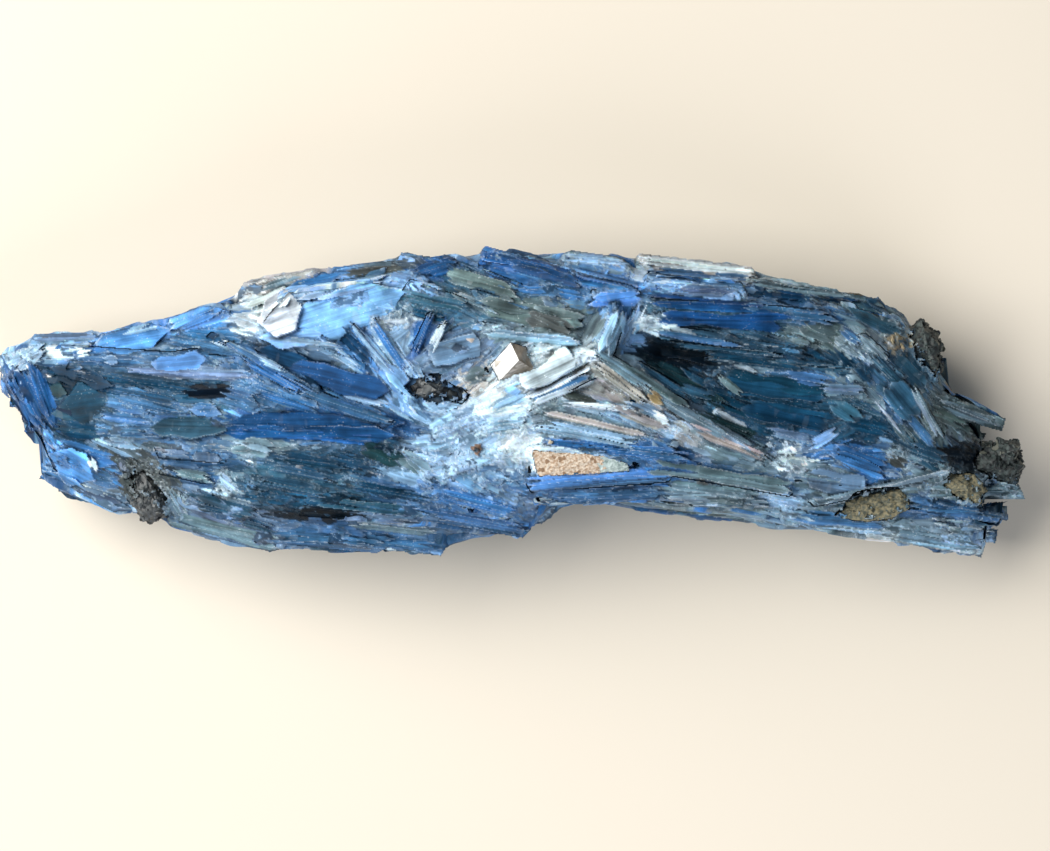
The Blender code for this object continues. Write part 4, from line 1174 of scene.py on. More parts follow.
    def keep_clear(self, skin: Skin) -> Array:
        """Leads the skin over the rims of the grains of other minerals, and under their middles.

        Args:
            skin: the upper skin.

        Returns:
            Which cells lie under a grain's open middle, from 0 to 1.
        """
        top = np.full(skin.ground.shape, -1.0)
        middle = np.zeros(skin.ground.shape, bool)
        for opening in self.openings:
            surface = Surface(opening.grain.data)
            part = self.window_over(surface)
            found = self.ground_from(surface, skin.origin[part], skin.out[part])
            found = np.where(np.isfinite(found), found, -1.0)
            top[part] = np.maximum(top[part], found)
            shown = found > skin.ground[part]
            inner = Skin.box_mean(-Skin.widest(-shown.astype(float)), 2 + opening.fringe)
            ragged = Skin.box_mean(skin.rng.random(shown.shape), 2) - 0.5
            middle[part] |= shown & (inner > 0.45 + (1.6 + 0.6 * opening.fringe) * ragged)
        over = top > skin.ground
        around = over.astype(float)
        bridged = np.maximum(skin.ground, top)
        for _ in range(self.lap):
            around = Skin.widest(around)
            bridged = Skin.widest(bridged)
        for _ in range(self.lap):
            bridged = -Skin.widest(-bridged)
        skin.follow(np.where(around > 0, bridged, skin.ground))
        skin.free &= ~middle
        return middle.astype(float)

    def window_over(self, surface: Surface) -> tuple[slice, slice]:
        """Finds the part of the upper skin that lies over a grain.

        Args:
            surface: the grain's surface.

        Returns:
            The rows and the columns.
        """
        places = to_chart(surface.corners)
        low, high = places.min(0).astype(int) - 2, places.max(0).astype(int) + 3
        rows = slice(max(low[1] - self.rows[0], 0), high[1] - self.rows[0])
        return rows, slice(max(low[0], 0), min(high[0], self.columns))

    def random_tint(self, tint: Array, rng: np.random.Generator, spread: float) -> Array:
        """A colour a little lighter or darker and a little off in hue."""
        return np.clip(tint * math.exp(rng.normal(0, spread)) * (1 + 0.025 * rng.normal(size=3)), 0, 0.95)

    def lay_blade(self, skin: Skin, blade: Blade) -> None:
        """Lays one large blade as laths side by side.

        Args:
            skin: the upper skin.
            blade: the blade.
        """
        rng = skin.rng
        run = np.array((blade.x1 - blade.x0, blade.y1 - blade.y0))
        length = float(np.linalg.norm(run))
        run = run / length
        aside = np.array((-run[1], run[0]))
        body = self.random_tint(np.array(linear(blade.tone.value[0])), rng, 0.08)
        for number in range(blade.laths):
            side = 0.0 if blade.laths == 1 else (number + 0.5) / blade.laths * 2 - 1
            short = rng.uniform(0, blade.ragged, 2) * (rng.random(2) < 0.75)
            middle = np.array((blade.x0, blade.y0)) + run * length * (0.5 + (short[0] - short[1]) / 2)
            middle = middle + aside * side * blade.width / 2
            own_width = blade.width * (1.0 if blade.laths == 1 else rng.uniform(1.1, 1.7) / blade.laths)
            lath = Lath(
                row=middle[1] - self.rows[0], column=middle[0],
                angle=math.atan2(-run[1], run[0]) + rng.normal(0, 0.02),
                length=length * (1 - short.sum()) * self.fine, width=own_width * self.fine,
                lift=0.12 + blade.lift * 0.6 + rng.uniform(0, 0.14) - 0.05 * abs(side),
                tint=self.random_tint(body, rng, 0.12),
                frost=float(np.clip(blade.tone.value[1] * rng.uniform(0.7, 1.3), 0, 1)),
                roll=rng.normal(0, 0.06), pitch=rng.normal(0, 0.008), hug=0.7,
                fibre=0.012 if blade.laths <= 2 else 0.028,
                ragged=0.8 if blade.ragged > 0.2 else 0.35,
                taper=blade.taper or (1.4 if blade.laths > 1 else 0.6), charted=True,
                bend=rng.normal(0, 0.002),
            )
            skin.lay(lath)

    def scatter(self, skin: Skin, litter: Litter) -> None:
        """Lays one sort of small lath all over the upper skin.

        Args:
            skin: the upper skin.
            litter: the sort of lath.
        """
        rng = skin.rng
        rows, columns = np.nonzero(skin.solid)
        for number in rng.integers(0, len(rows), litter.count):
            row, column = rows[number], columns[number]
            tint, frost = self.plan.look(column, row + self.rows[0], rng)
            angle = self.plan.direction(column, row + self.rows[0]) + rng.normal(0, 0.08)
            raised = 0.35 + 0.65 * min(1.0, frost * 1.6)
            lath = Lath(
                row, column, angle, length=between(litter.length, rng.random() ** 1.6),
                width=between(litter.width, rng.random() ** 1.5),
                lift=litter.lift[0] + litter.lift[1] * rng.random() ** 2 * raised,
                tint=self.random_tint(tint, rng, litter.spread),
                frost=float(np.clip(frost * rng.uniform(0.5, 1.3), 0, 1)), roll=rng.normal(0, 0.11),
                pitch=rng.normal(0.012, 0.02), ragged=0.9, taper=rng.uniform(0.3, 2.2),
                bend=rng.normal(0, 0.014),
            )
            skin.lay(lath)

    def crumble(self, skin: Skin, area: Crumble) -> None:
        """Lays the bits of one sugary stretch.

        Args:
            skin: the upper skin.
            area: the stretch.
        """
        rng = skin.rng
        turn = math.radians(area.turn)
        for _ in range(area.bits):
            reach, bearing = math.sqrt(rng.random()), rng.uniform(0, 2 * math.pi)
            along = reach * math.cos(bearing) * area.length
            across = reach * math.sin(bearing) * area.width
            x = area.x + along * math.cos(turn) + across * math.sin(turn)
            y = area.y - along * math.sin(turn) + across * math.cos(turn)
            tint, frost = self.plan.look(x, y, rng)
            lath = Lath(
                row=y - self.rows[0], column=x, angle=rng.uniform(0, math.pi),
                length=area.size * rng.uniform(0.5, 1.6), width=area.size * rng.uniform(0.3, 0.8),
                lift=0.08 + area.lift * rng.random(), tint=self.random_tint(tint, rng, 0.22),
                frost=float(np.clip(frost * rng.uniform(0.6, 1.5) + 0.05, 0, 1)),
                roll=rng.normal(0, 0.3), pitch=rng.normal(0, 0.16), hug=0.15, ragged=0.3, taper=0.4,
            )
            skin.lay(lath)

    def fill_lower(self, skin: Skin) -> None:
        """Lays the laths of the flanks and the underside, with tones that change slowly.

        Args:
            skin: the lower skin.
        """
        rng = skin.rng
        rows, columns = np.nonzero(skin.solid)
        for number in rng.integers(0, len(rows), self.flank_fillers):
            row, column = rows[number], columns[number]
            point = skin.base[row, column]
            x, y = to_chart(point[None])[0]
            drift = 1.3 * noise.noise(Vector(point) * 45) + 0.45 * rng.normal()
            tones = len(self.flank_tones)
            tone = self.flank_tones[int(np.clip((drift * 0.5 + 0.5) * tones, 0, tones - 1))]
            tint, frost = np.array(linear(tone.value[0])), tone.value[1]
            if skin.out[row, column][2] > self.flank_low and rng.random() < self.flank_like_top:
                tint, frost = self.plan.look(x, y, rng)
            length = between(self.flank_length, rng.random() ** 1.5)
            width = between(self.flank_width, rng.random() ** 1.4)
            lath = Lath(
                row, column, angle=0.5 * self.plan.direction(x, y) + rng.normal(0, 0.07),
                length=length, width=width, lift=0.08 + 0.6 * rng.random() ** 2,
                tint=self.random_tint(tint, rng, 0.32),
                frost=float(np.clip(frost * rng.uniform(0.5, 1.2), 0, 1)), roll=rng.normal(0, 0.12),
                pitch=rng.normal(0, 0.015), hug=0.45, fibre=0.035, ragged=1.6,
                taper=rng.uniform(0.5, 3.0),
            )
            skin.lay(lath)

    def build(self) -> None:
        """Lays all the laths and makes the skins into meshes."""
        upper = self.upper_sheet()
        LOG.info("upper sheet: %d points on the solid", upper.solid.sum())
        upper.soften(reach=4, low=0.4 * MM, high=0.8 * MM)
        under = self.keep_clear(upper)
        upper.colour(self.plan, self.tint_step, self.painted_gap_shade)
        for blade in BLADES:
            self.lay_blade(upper, blade)
        for area in CRUMBLES:
            self.crumble(upper, area)
        for litter in self.litter:
            self.scatter(upper, litter)
        upper.settle(border=3, sunk=under, depth=0.5, dimmed=True)
        self.made += upper.pieces(self.borders, self.upper_tear)
        lower = self.lower_sheet()
        LOG.info("lower sheet: %d points on the solid", lower.solid.sum())
        lower.soften(reach=2, low=0.4 * MM, high=0.5 * MM)
        lower.colour(self.plan, self.tint_step, self.painted_gap_shade)
        self.fill_lower(lower)
        given_up = np.clip((lower.upwards() - self.face_up) / self.face_blend, 0, 1)
        lower.settle(border=2, sunk=given_up, depth=1.0, dimmed=False)
        self.made += lower.pieces((0, lower.solid.shape[1] - 1), self.lower_tear, lid=upper)

    def dress(self, finish: "KyaniteFinish") -> None:
        """Gives the skins their finish.

        Args:
            finish: the kyanite's finish.
        """
        material = finish.laths()
        for piece in self.made:
            piece.data.materials.append(material)
            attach(piece, "root")
            LOG.info("%s: %d faces", piece.name, len(piece.data.polygons))


# --- Finishes ---------------------------------------------------------


def fill_inputs(tree: Tree, node: bpy.types.Node, inputs: dict) -> None:
    """Sets or links a node's inputs.

    Args:
        tree: the node tree.
        node: the node.
        inputs: a value, or the socket to link, for each input by name or number.
    """
    for name, value in inputs.items():
        if isinstance(value, bpy.types.NodeSocket):
            tree.links.new(value, node.inputs[name])
        else:
            node.inputs[name].default_value = value


def add_node(
    tree: Tree, kind: str, settings: Optional[dict] = None, inputs: Optional[dict] = None
) -> bpy.types.Node:
    """Adds a node with its settings and links.

    Args:
        tree: the node tree.
        kind: the node's type.
        settings: its own properties by name.
        inputs: a value, or the socket to link, for each input by name or number.

    Returns:
        The node.
    """
    node = tree.nodes.new(kind)
    for name, value in (settings or {}).items():
        setattr(node, name, value)
    fill_inputs(tree, node, inputs or {})
    return node


def attribute(tree: Tree, name: str, output: str = "Fac") -> Socket:
    """Adds a node that reads an attribute of the mesh, and returns one of its outputs."""
    return add_node(tree, "ShaderNodeAttribute", {"attribute_name": name}).outputs[output]


def calculate(tree: Tree, operation: str, *values: Union[float, Socket], clamp: bool = False) -> Socket:
    """Adds a calculation with numbers.

    Args:
        tree: the node tree.
        operation: what is done with them.
        values: the numbers, or the sockets that they come from.
        clamp: whether the result is kept from 0 to 1.

    Returns:
        The result.
    """
    settings = {"operation": operation, "use_clamp": clamp}
    return add_node(tree, "ShaderNodeMath", settings, dict(enumerate(values))).outputs[0]


def remap(tree: Tree, value: Socket, source: tuple[float, float], target: tuple[float, float]) -> Socket:
    """Adds a change of one range to another.

    Args:
        tree: the node tree.
        value: the number that is changed.
        source: the range that it comes from, and is kept in.
        target: the range that it goes to.

    Returns:
        The result.
    """
    inputs = {0: value, 1: source[0], 2: source[1], 3: target[0], 4: target[1]}
    return add_node(tree, "ShaderNodeMapRange", inputs=inputs).outputs[0]


def blend(tree: Tree, share: Socket, first: Colour, second: Colour) -> Socket:
    """Adds a mix of two colours.

    Args:
        tree: the node tree.
        share: how much there is of the second.
        first: the first colour, in sRGB hex or from a socket.
        second: the second.

    Returns:
        The mix.
    """
    sides = [(*linear(colour), 1.0) if isinstance(colour, str) else colour for colour in (first, second)]
    return add_node(
        tree, "ShaderNodeMix", {"data_type": "RGBA"}, {0: share, 6: sides[0], 7: sides[1]}
    ).outputs[2]


def scaled(tree: Tree, vector: Socket, factor: Union[float, Socket]) -> Socket:
    """Adds a vector, or a colour, times a factor."""
    return add_node(
        tree, "ShaderNodeVectorMath", {"operation": "SCALE"}, {0: vector, "Scale": factor}
    ).outputs[0]


def stretched_noise(tree: Tree, vector: Socket, scale: tuple[float, ...], detail: float) -> Socket:
    """Adds a noise that is stretched.

    Args:
        tree: the node tree.
        vector: the coordinates.
        scale: how often it changes in one unit of them, each way.
        detail: how many finer layers it has.

    Returns:
        The noise's value.
    """
    stretched = add_node(tree, "ShaderNodeVectorMath", {"operation": "MULTIPLY"}, {0: vector, 1: scale})
    inputs = {"Vector": stretched.outputs[0], "Scale": 1.0, "Detail": detail}
    return add_node(tree, "ShaderNodeTexNoise", inputs=inputs).outputs[0]


def bumped(tree: Tree, height: Socket, strength: float, distance: float) -> Socket:
    """Adds relief.

    Args:
        tree: the node tree.
        height: the pattern that it follows.
        strength: how strong it is.
        distance: how high it is, in metres.

    Returns:
        The way that the surface faces.
    """
    inputs = {"Strength": strength, "Distance": distance, "Height": height}
    return add_node(tree, "ShaderNodeBump", inputs=inputs).outputs[0]


def object_place(tree: Tree) -> Socket:
    """Adds the place on the object, in metres."""
    return add_node(tree, "ShaderNodeTexCoord").outputs["Object"]


def new_material(name: str) -> tuple[bpy.types.Material, Tree, bpy.types.Node]:
    """Makes a material.

    Args:
        name: its name.

    Returns:
        The material, its node tree and its Principled shader.
    """
    material = bpy.data.materials.new(name)
    material.use_nodes = True
    return material, material.node_tree, material.node_tree.nodes["Principled BSDF"]


@dataclass(frozen=True)
class KyaniteFinish:
    """Kyanite as it grew: glassy to pearly, translucent, and streaked along each lath by its own growth."""

    streak_mm: float = 0.32  # between growth streaks, drawn as coarse as they show
    streak_rate: float = 0.12  # how often they change in a millimetre along a lath
    streak_shade: tuple[float, float] = (0.76, 1.25)  # how dark and how light they make it
    zone_mm: float = 2.4  # across a zone of stronger colour
    zone_shade: tuple[float, float] = (0.7, 1.25)
    cloud_mm: float = 2.6  # across a clouded patch, which runs on from one lath to the next
    cloud_shade: tuple[float, float] = (0.66, 1.32)
    parting_mm: float = 1.6  # between the breaks across a lath
    parting_frost: float = 0.12  # how frosted a break is
    crumb_mm: float = 0.22  # across a crumb of a frosted edge
    flake_mm: float = 0.3  # across a tiny cleavage flake, whose glint is painted into the colour
    painted_flake_glint: float = 0.9  # how bright its painted glint is
    # the colour of frosted edges, which the painted glints of flakes also take
    frost: str = "#e9f3fa"
    frost_gain: float = 1.5  # how strongly a lath's own frost shows
    roughness: tuple[float, float] = (0.30, 0.58)
    relief: float = 0.08 * MM
    ior: float = 1.72
    mass_dark: str = "#0b1f38"
    mass_light: str = "#2b5672"
    mass_streak: tuple[float, ...] = (0.14, 2.4, 2.4)  # how often they change in a millimetre, each way
    mass_zone: tuple[float, ...] = (0.12, 0.35, 0.35)

    def surface(self, tree: Tree, shader: bpy.types.Node, streak: Socket, crumb: Socket) -> None:
        """Sets what a lath and the mass under it share: gloss, relief and light that enters.

        Args:
            tree: the node tree.
            shader: the Principled shader.
            streak: the growth streaks.
            crumb: the fine crumbs.
        """
        height = calculate(tree, "MULTIPLY_ADD", crumb, 0.6, streak)
        values = {
            "Roughness": remap(tree, streak, (0.35, 0.7), self.roughness),
            "Normal": bumped(tree, height, 0.4, self.relief),
            "IOR": self.ior,
            "Specular IOR Level": 0.05,
            "Subsurface Weight": 0.15,
            "Subsurface Radius": (0.35, 0.6, 1.0),
            "Subsurface Scale": 0.8 * MM,
            "Coat Weight": 0.02,
            "Coat Roughness": 0.18,
        }
        fill_inputs(tree, shader, values)

    def body(self, tree: Tree, grain: Socket, streak: Socket, cloud: Socket) -> Socket:
        """Adds the tint of each lath, in streaks, zones and clouds.

        Args:
            tree: the node tree.
            grain: the place on the lath, in millimetres.
            streak: the growth streaks.
            cloud: the clouded patches.

        Returns:
            The colour.
        """
        zone = stretched_noise(tree, grain, (0.3 / self.zone_mm, 1 / self.zone_mm, 1.0), 2)
        shade = calculate(
            tree,
            "MULTIPLY",
            remap(tree, streak, (0.3, 0.72), self.streak_shade),
            remap(tree, zone, (0.32, 0.68), self.zone_shade),
        )
        shade = calculate(tree, "MULTIPLY", shade, remap(tree, cloud, (0.33, 0.67), self.cloud_shade))
        return scaled(tree, attribute(tree, "tint", "Vector"), shade)

    def frost_and_glints(self, tree: Tree, grain: Socket, place: Socket, crumb: Socket, cloud: Socket) -> Socket:
        """Adds the frost on broken edges and breaks, and the painted glints of flakes.

        Args:
            tree: the node tree.
            grain: the place on the lath, in millimetres.
            place: the place on the object, in metres.
            crumb: the fine crumbs.
            cloud: the clouded patches, which the flakes gather in.

        Returns:
            How frosted it is, with the painted glints, from 0 to 1.
        """
        parting = stretched_noise(tree, grain, (1 / self.parting_mm, 0.2, 1.0), 1)
        flake = stretched_noise(tree, place, (1 / (self.flake_mm * MM),) * 3, 1)
        crack = remap(tree, parting, (0.64, 0.70), (0.0, self.parting_frost))
        edge = remap(tree, attribute(tree, "rim"), (0.45, 1.0), (0.0, 1.0))
        patchy = remap(tree, crumb, (0.42, 0.66), (0.1, 1.0))
        # painted highlights: glints of tiny flakes, mixed towards the frost colour
        painted_glint = remap(tree, flake, (0.64, 0.74), (0.0, self.painted_flake_glint))
        where = remap(tree, cloud, (0.53, 0.62), (0.0, 1.0))
        broken = calculate(tree, "ADD", calculate(tree, "MULTIPLY", edge, patchy), crack)
        bright = calculate(tree, "MULTIPLY_ADD", painted_glint, where, broken)
        strong = calculate(tree, "MULTIPLY", attribute(tree, "frost"), self.frost_gain)
        return calculate(tree, "MULTIPLY", bright, strong, clamp=True)

    def laths(self) -> bpy.types.Material:
        """Makes the finish of the laths, which reads each lath's own tint, frost and grain.

        Returns:
            The material.
        """
        material, tree, shader = new_material("kyanite_laths")
        grain, place = attribute(tree, "grain", "Vector"), object_place(tree)
        streak = stretched_noise(tree, grain, (self.streak_rate, 1 / self.streak_mm, 1.0), 4)
        crumb = stretched_noise(tree, grain, (1 / self.crumb_mm,) * 3, 2)
        cloud = stretched_noise(tree, place, (1 / (self.cloud_mm * MM),) * 3, 5)
        body = self.body(tree, grain, streak, cloud)
        frosted = self.frost_and_glints(tree, grain, place, crumb, cloud)
        fill_inputs(tree, shader, {"Base Color": blend(tree, frosted, body, self.frost)})
        self.surface(tree, shader, streak, crumb)
        return material

    def mass(self) -> bpy.types.Material:
        """Makes the finish of the fused blades that show in the gaps between laths.

        Returns:
            The material.
        """
        material, tree, shader = new_material("kyanite_mass")
        in_mm = scaled(tree, object_place(tree), 1 / MM)
        streak = stretched_noise(tree, in_mm, self.mass_streak, 4)
        zone = stretched_noise(tree, in_mm, self.mass_zone, 3)
        crumb = stretched_noise(tree, in_mm, (1 / self.crumb_mm,) * 3, 2)
        lighter = calculate(tree, "MULTIPLY_ADD", zone, 1.4, -0.4, clamp=True)
        fill_inputs(tree, shader, {"Base Color": blend(tree, lighter, self.mass_dark, self.mass_light)})
        self.surface(tree, shader, streak, crumb)
        return material


@dataclass(frozen=True)
class MineralFinish:
    """A grainy mineral in three colours: most of it, its lighter grains, and its dark specks."""

    name: str
    body: str
    light: str
    speck: str
    grain_mm: float
    speck_share: float
    roughness: float
    ior: float = 1.55
    coat: float = 0.0
    relief: float = 0.15 * MM

    def material(self) -> bpy.types.Material:
        """Makes the finish, patterned by real sizes over the object.

        Returns:
            The material.
        """
        material, tree, shader = new_material(self.name)
        place, size = object_place(tree), self.grain_mm * MM
        pattern = {"Vector": place, "Scale": 1 / size, "Detail": 5.0}
        grain = add_node(tree, "ShaderNodeTexNoise", inputs=pattern).outputs[0]
        cells = add_node(tree, "ShaderNodeTexVoronoi", inputs={"Vector": place, "Scale": 0.7 / size})
        number = add_node(tree, "ShaderNodeSeparateColor", inputs={0: cells.outputs["Color"]}).outputs[0]
        colour = blend(tree, remap(tree, grain, (0.38, 0.64), (0.0, 1.0)), self.body, self.light)
        specked = blend(tree, calculate(tree, "LESS_THAN", number, self.speck_share), colour, self.speck)
        values = {
            "Base Color": specked,
            "Normal": bumped(tree, grain, 0.6, self.relief),
            "Roughness": self.roughness,
            "IOR": self.ior,
            "Coat Weight": self.coat,
        }
        fill_inputs(tree, shader, values)
        return material


# Biotite mica: cleaved flakes, smoky grey to black with a faint sheen on each flat.
BIOTITE = MineralFinish("biotite_mica", "#1c2226", "#505557", "#0a0f13", 0.9, 0.20, 0.5, 1.60, 0.08)
# Milky quartz: broken, nearly white, with a glassy lustre.
QUARTZ = MineralFinish("milky_quartz", "#d8dcd8", "#f4f4f0", "#a9a297", 0.8, 0.12, 0.22, 1.54, 0.3)
# Milky quartz on the sides turned from its white face and from the lamp: smoky brown-grey, partly the tone of
# clearer quartz and partly painted shade.
SMOKY_AND_SHADED_SIDE = MineralFinish(
    "milky_quartz_smoky_shaded_side", "#6d6457", "#8b8378", "#4e4a44", 1.4, 0.05, 0.2, 1.54, 0.3
)
# Feldspar stained by iron: dull and granular, tan with whitish and rusty grains.
FELDSPAR = MineralFinish("iron_stained_feldspar", "#a88b70", "#dccebb", "#8c6f53", 0.36, 0.10, 0.55, 1.53)
# The same feldspar where the stain ends: pale and glassy.
CLEAR_FELDSPAR = MineralFinish(
    "iron_stained_feldspar_clear_end", "#8ea09d", "#c3d2cf", "#a8997f", 0.6, 0.1, 0.3
)
# Ochre matrix: earthy, olive and buff, speckled dark.
OCHRE = MineralFinish("ochre_matrix", "#4f5449", "#8f8567", "#33362f", 0.5, 0.06, 0.72, 1.52)
# Mica schist: black, ragged and dull, with greenish grey flakes.
SCHIST = MineralFinish("mica_schist", "#0f1518", "#3f4a48", "#686a60", 0.6, 0.08, 0.62, 1.58)


# --- Grains of other minerals -----------------------------------------


@dataclass
class MineralGrain:
    """A grain of another mineral in its pocket: the solid's own form, broken up finely."""

    node: str
    name: str
    finish: MineralFinish
    cuts: int = 3  # along each edge of its form
    relief: float = 0.25 * MM  # how far its points move in and out
    lump: float = 1.1 * MM  # across one of its lumps
    plates: int = 0
    plate_size: tuple[float, float] = (0.5 * MM, 1.3 * MM)
    swell: float = 0.3 * MM  # how far it grows into the walls of its pocket
    fringe: int = 6  # chart steps over which laths straggle over its border
    plate_thickness: float = 0.16 * MM
    plate_rise: float = 0.05 * MM  # how far a plate's middle lies over the surface
    plate_tilt: float = 0.45  # how far it leans, against the way that the surface faces

    def rough_form(self) -> bmesh.types.BMesh:
        """Cuts the solid's form finely and roughens it.

        Returns:
            The form.
        """
        bm = solid_form(self.node)
        self.roughen(bm)
        return bm

    def roughen(self, bm: bmesh.types.BMesh) -> None:
        """Cuts a form finely and moves its points in and out.

        Args:
            bm: the form.
        """
        bmesh.ops.subdivide_edges(bm, edges=bm.edges, cuts=self.cuts, use_grid_fill=True)
        bmesh.ops.triangulate(bm, faces=bm.faces)
        bm.normal_update()
        moves = []
        for vert in bm.verts:
            place = vert.co / self.lump
            height = noise.noise(place) + 0.5 * noise.noise(place * 2.3) + 0.4 * noise.noise(place * 5.1)
            moves.append(vert.normal * (self.relief * height + self.swell))
        for vert, move in zip(bm.verts, moves):
            vert.co += move

    def finishes(self) -> list[MineralFinish]:
        """The finishes that it takes, in the order of its faces' numbers."""
        return [self.finish]

    def add_plates(self, bm: bmesh.types.BMesh) -> None:
        """Adds small six-sided plates that lie on the surface, tilted here and there.

        Args:
            bm: the mesh that they are added to.
        """
        rng = generator(self.name)
        bm.faces.ensure_lookup_table()
        areas = np.array([face.calc_area() for face in bm.faces])
        chosen = rng.choice(len(areas), size=self.plates, p=areas / areas.sum())
        places = [(bm.faces[i].calc_center_median(), bm.faces[i].normal.copy()) for i in chosen]
        for middle, normal in places:
            size = rng.uniform(*self.plate_size)
            facing = (normal + Vector(rng.normal(0, self.plate_tilt, 3))).normalized()
            turn = facing.to_track_quat("Z", "Y").to_matrix().to_4x4()
            stretch = Matrix.Diagonal((size * rng.uniform(0.7, 1.3), size, self.plate_thickness, 1.0))
            place = Matrix.Translation(middle + normal * self.plate_rise) @ turn @ stretch
            bmesh.ops.create_cone(
                bm, cap_ends=True, segments=6, radius1=0.5, radius2=0.44, depth=1.0, matrix=place
            )

    def build(self) -> Opening:
        """Makes the grain, gives it its finish and puts it in place of its solid.

        Returns:
            Where it shows through the upper skin.
        """
        bm = self.rough_form()
        self.add_plates(bm)
        piece = add_object(self.name, mesh_from(bm, self.name))
        for finish in self.finishes():
            piece.data.materials.append(finish.material())
        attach(piece, "root")
        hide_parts(self.node)
        LOG.info("%s: %d faces", piece.name, len(piece.data.polygons))
        return Opening(piece, self.fringe)


@dataclass
class CleavedGrain(MineralGrain):
    """A grain with flat cleaved faces between corners on the chart, which takes a second finish in part."""

    corners: tuple[tuple[float, float, float], ...] = ()  # chart places, and heights in millimetres
    foot: float = 25.2 * MM  # how high it starts
    second: Optional[MineralFinish] = None
    turned: float = math.inf  # the second finish is on faces turned this far from the first end
    beyond: float = math.inf  # and on those past this chart place along the specimen
    straggle: float = 8  # chart steps by which that border wanders

    def rough_form(self) -> bmesh.types.BMesh:
        """Makes the hull of its corners, cuts it finely and roughens it.

        Returns:
            The form.
        """
        bm = bmesh.new()
        for x, y, height in self.corners:
            bm.verts.new(from_chart(x, y, height * MM))
            bm.verts.new(from_chart(x, y, self.foot))
        hull = bmesh.ops.convex_hull(bm, input=bm.verts)
        left_over = hull["geom_interior"] + hull["geom_unused"]
        inner = {item for item in left_over if isinstance(item, bmesh.types.BMVert)}
        bmesh.ops.delete(bm, geom=list(inner), context="VERTS")
        bm.normal_update()
        # faces turned away from the first end take the second finish, which on the quartz chip is partly
        # painted shade
        for face in bm.faces:
            face.material_index = int(face.normal.x > self.turned)
        self.roughen(bm)
        for face in bm.faces:
            middle = face.calc_center_median()
            place = to_chart(np.array(middle)[None])[0][0]
            if place > self.beyond + self.straggle * noise.noise(middle / self.lump):
                face.material_index = 1
        return bm

    def finishes(self) -> list[MineralFinish]:
        """Its main finish and the second one."""
        return [self.finish, self.second or self.finish]


GRAINS = (
    MineralGrain("mica_pocket_centre", "mica_centre", BIOTITE, 3, 0.5 * MM, 0.9 * MM, 150),
    MineralGrain(
        "mica_pocket_near", "mica_near", BIOTITE, 3, 0.4 * MM, 0.9 * MM, 200, (0.3 * MM, 0.9 * MM), 0.0, 9
    ),
    CleavedGrain(
        "quartz_chip", "quartz", QUARTZ, 10, 0.10 * MM, 1.6 * MM, swell=0.0, fringe=0,
        corners=(
            (519, 362, 33.2), (511, 345, 32.5), (492, 366, 31.5), (500, 382, 31.4), (534, 371, 31.8),
            (526, 349, 31.6),
        ),
        # the second finish, on the faces turned away from the lamp, is brown-grey: painted shade over the
        # clearer quartz's smoky tone
        foot=28.2 * MM, second=SMOKY_AND_SHADED_SIDE, turned=0.03,
    ),
    CleavedGrain(
        "stained_wedge", "feldspar_wedge", FELDSPAR, 22, 0.12 * MM, 0.5 * MM, swell=0.0, fringe=0,
        corners=(
            (532, 450, 30.7), (538, 475, 29.6), (592, 472.5, 29.3), (627, 469.5, 28.9), (625, 463, 29.7),
            (602, 455.5, 30.5), (588, 453.5, 30.7),
        ),
        second=CLEAR_FELDSPAR, beyond=600,
    ),
    MineralGrain("ochre_pocket", "ochre_hollow", OCHRE, 4, 0.35 * MM, 0.8 * MM, 60, (0.3 * MM, 0.7 * MM)),
    MineralGrain("ochre_patch", "ochre_near_end", OCHRE, 4, 0.35 * MM, 0.8 * MM, 50, (0.3 * MM, 0.7 * MM)),
    MineralGrain("schist_rind_far", "schist_far", SCHIST, 4, 0.55 * MM, 1.1 * MM, 260, (0.4 * MM, 1.2 * MM)),
    MineralGrain("schist_rind_end", "schist_end", SCHIST, 4, 0.55 * MM, 1.1 * MM, 240, (0.4 * MM, 1.2 * MM)),
)


# --- Studio -----------------------------------------------------------


class Lamp(NamedTuple):
    """A soft square lamp that faces the specimen."""

    name: str
    place: tuple[float, float, float]
    side: float
    watts: float
    colour: str

    def hang(self) -> None:
        """Puts the lamp in the scene."""
        light = bpy.data.lights.new(self.name, "AREA")
        light.shape = "SQUARE"
        light.size = self.side
        light.energy = self.watts
        light.color = linear(self.colour)
        lamp = add_object(self.name, light)
        lamp.location = self.place
        lamp.rotation_euler = (-Vector(self.place)).to_track_quat("-Z", "Y").to_euler()


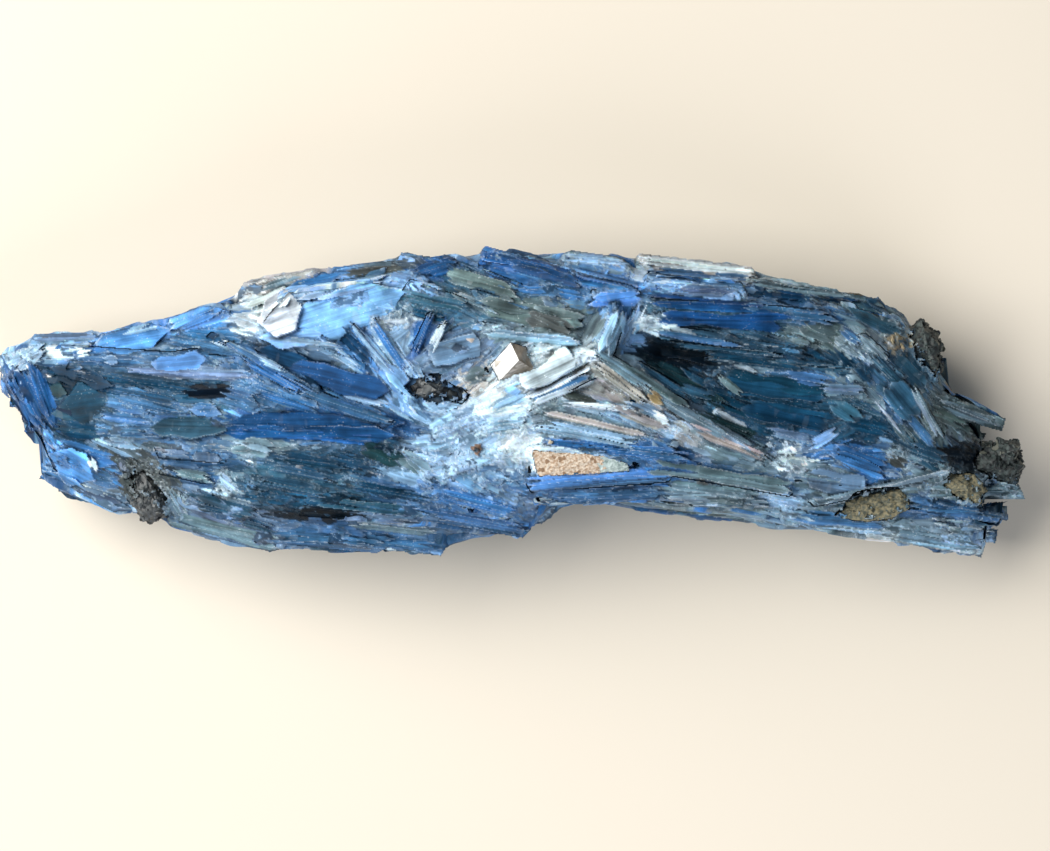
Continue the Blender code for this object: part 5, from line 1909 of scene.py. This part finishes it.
@dataclass
class Studio:
    """The table, the light and the camera, which looks straight down."""

    view_centre: tuple[float, float] = (525.0, 425.5)  # the chart place in the middle of the view
    view_width: float = 1050 * STEP
    focus_height: float = 10 * MM
    distance: float = 0.9
    sensor: float = 36.0  # millimetres
    table_size: float = 3.0
    table_colour: str = "#e2d8c8"
    room_colour: str = "#d3e1f3"
    room_strength: float = 0.19
    lamps: tuple[Lamp, ...] = (
        Lamp("window", (-0.44, 0.17, 0.47), 0.65, 8.4, "#fffdf8"),  # a big one beyond the first end
        Lamp("near_window", (0.16, -0.50, 0.34), 0.4, 1.9, "#f4f8ff"),  # a weaker one on the near side
    )

    def table(self) -> None:
        """Lays the plain pale table top."""
        bm = bmesh.new()
        bmesh.ops.create_grid(bm, x_segments=1, y_segments=1, size=self.table_size / 2)
        table = add_object("table", mesh_from(bm, "table"))
        material, _, shader = new_material("pale_table")
        shader.inputs["Base Color"].default_value = (*linear(self.table_colour), 1.0)
        shader.inputs["Roughness"].default_value = 0.6
        table.data.materials.append(material)

    def light(self) -> None:
        """Hangs the lamps, and adds a little light all round."""
        for lamp in self.lamps:
            lamp.hang()
        world = bpy.data.worlds.new("room")
        world.use_nodes = True
        background = world.node_tree.nodes["Background"]
        background.inputs[0].default_value = (*linear(self.room_colour), 1.0)
        background.inputs[1].default_value = self.room_strength
        bpy.context.scene.world = world

    def camera(self) -> None:
        """Sets up a long lens straight above."""
        data = bpy.data.cameras.new("camera")
        data.sensor_width = self.sensor
        data.lens = self.sensor * self.distance / self.view_width
        camera = add_object("camera", data)
        camera.location = from_chart(*self.view_centre, self.focus_height + self.distance)
        bpy.context.scene.camera = camera

    def build(self) -> None:
        """Sets up the table, the light and the camera."""
        self.table()
        self.light()
        self.camera()
        bpy.context.scene.view_settings.view_transform = "Standard"


def main() -> None:
    """Builds the studio, the blades and the grains, and writes how big the result is."""
    logging.basicConfig(level=logging.INFO, format="%(message)s")
    Studio().build()
    finish = KyaniteFinish()
    Core().build(finish.mass())
    openings = [grain.build() for grain in GRAINS]
    cover = BladeCover(Surface(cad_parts[CLUSTER].data), openings)
    cover.build()
    cover.dress(finish)


if __name__ == "__main__":
    main()
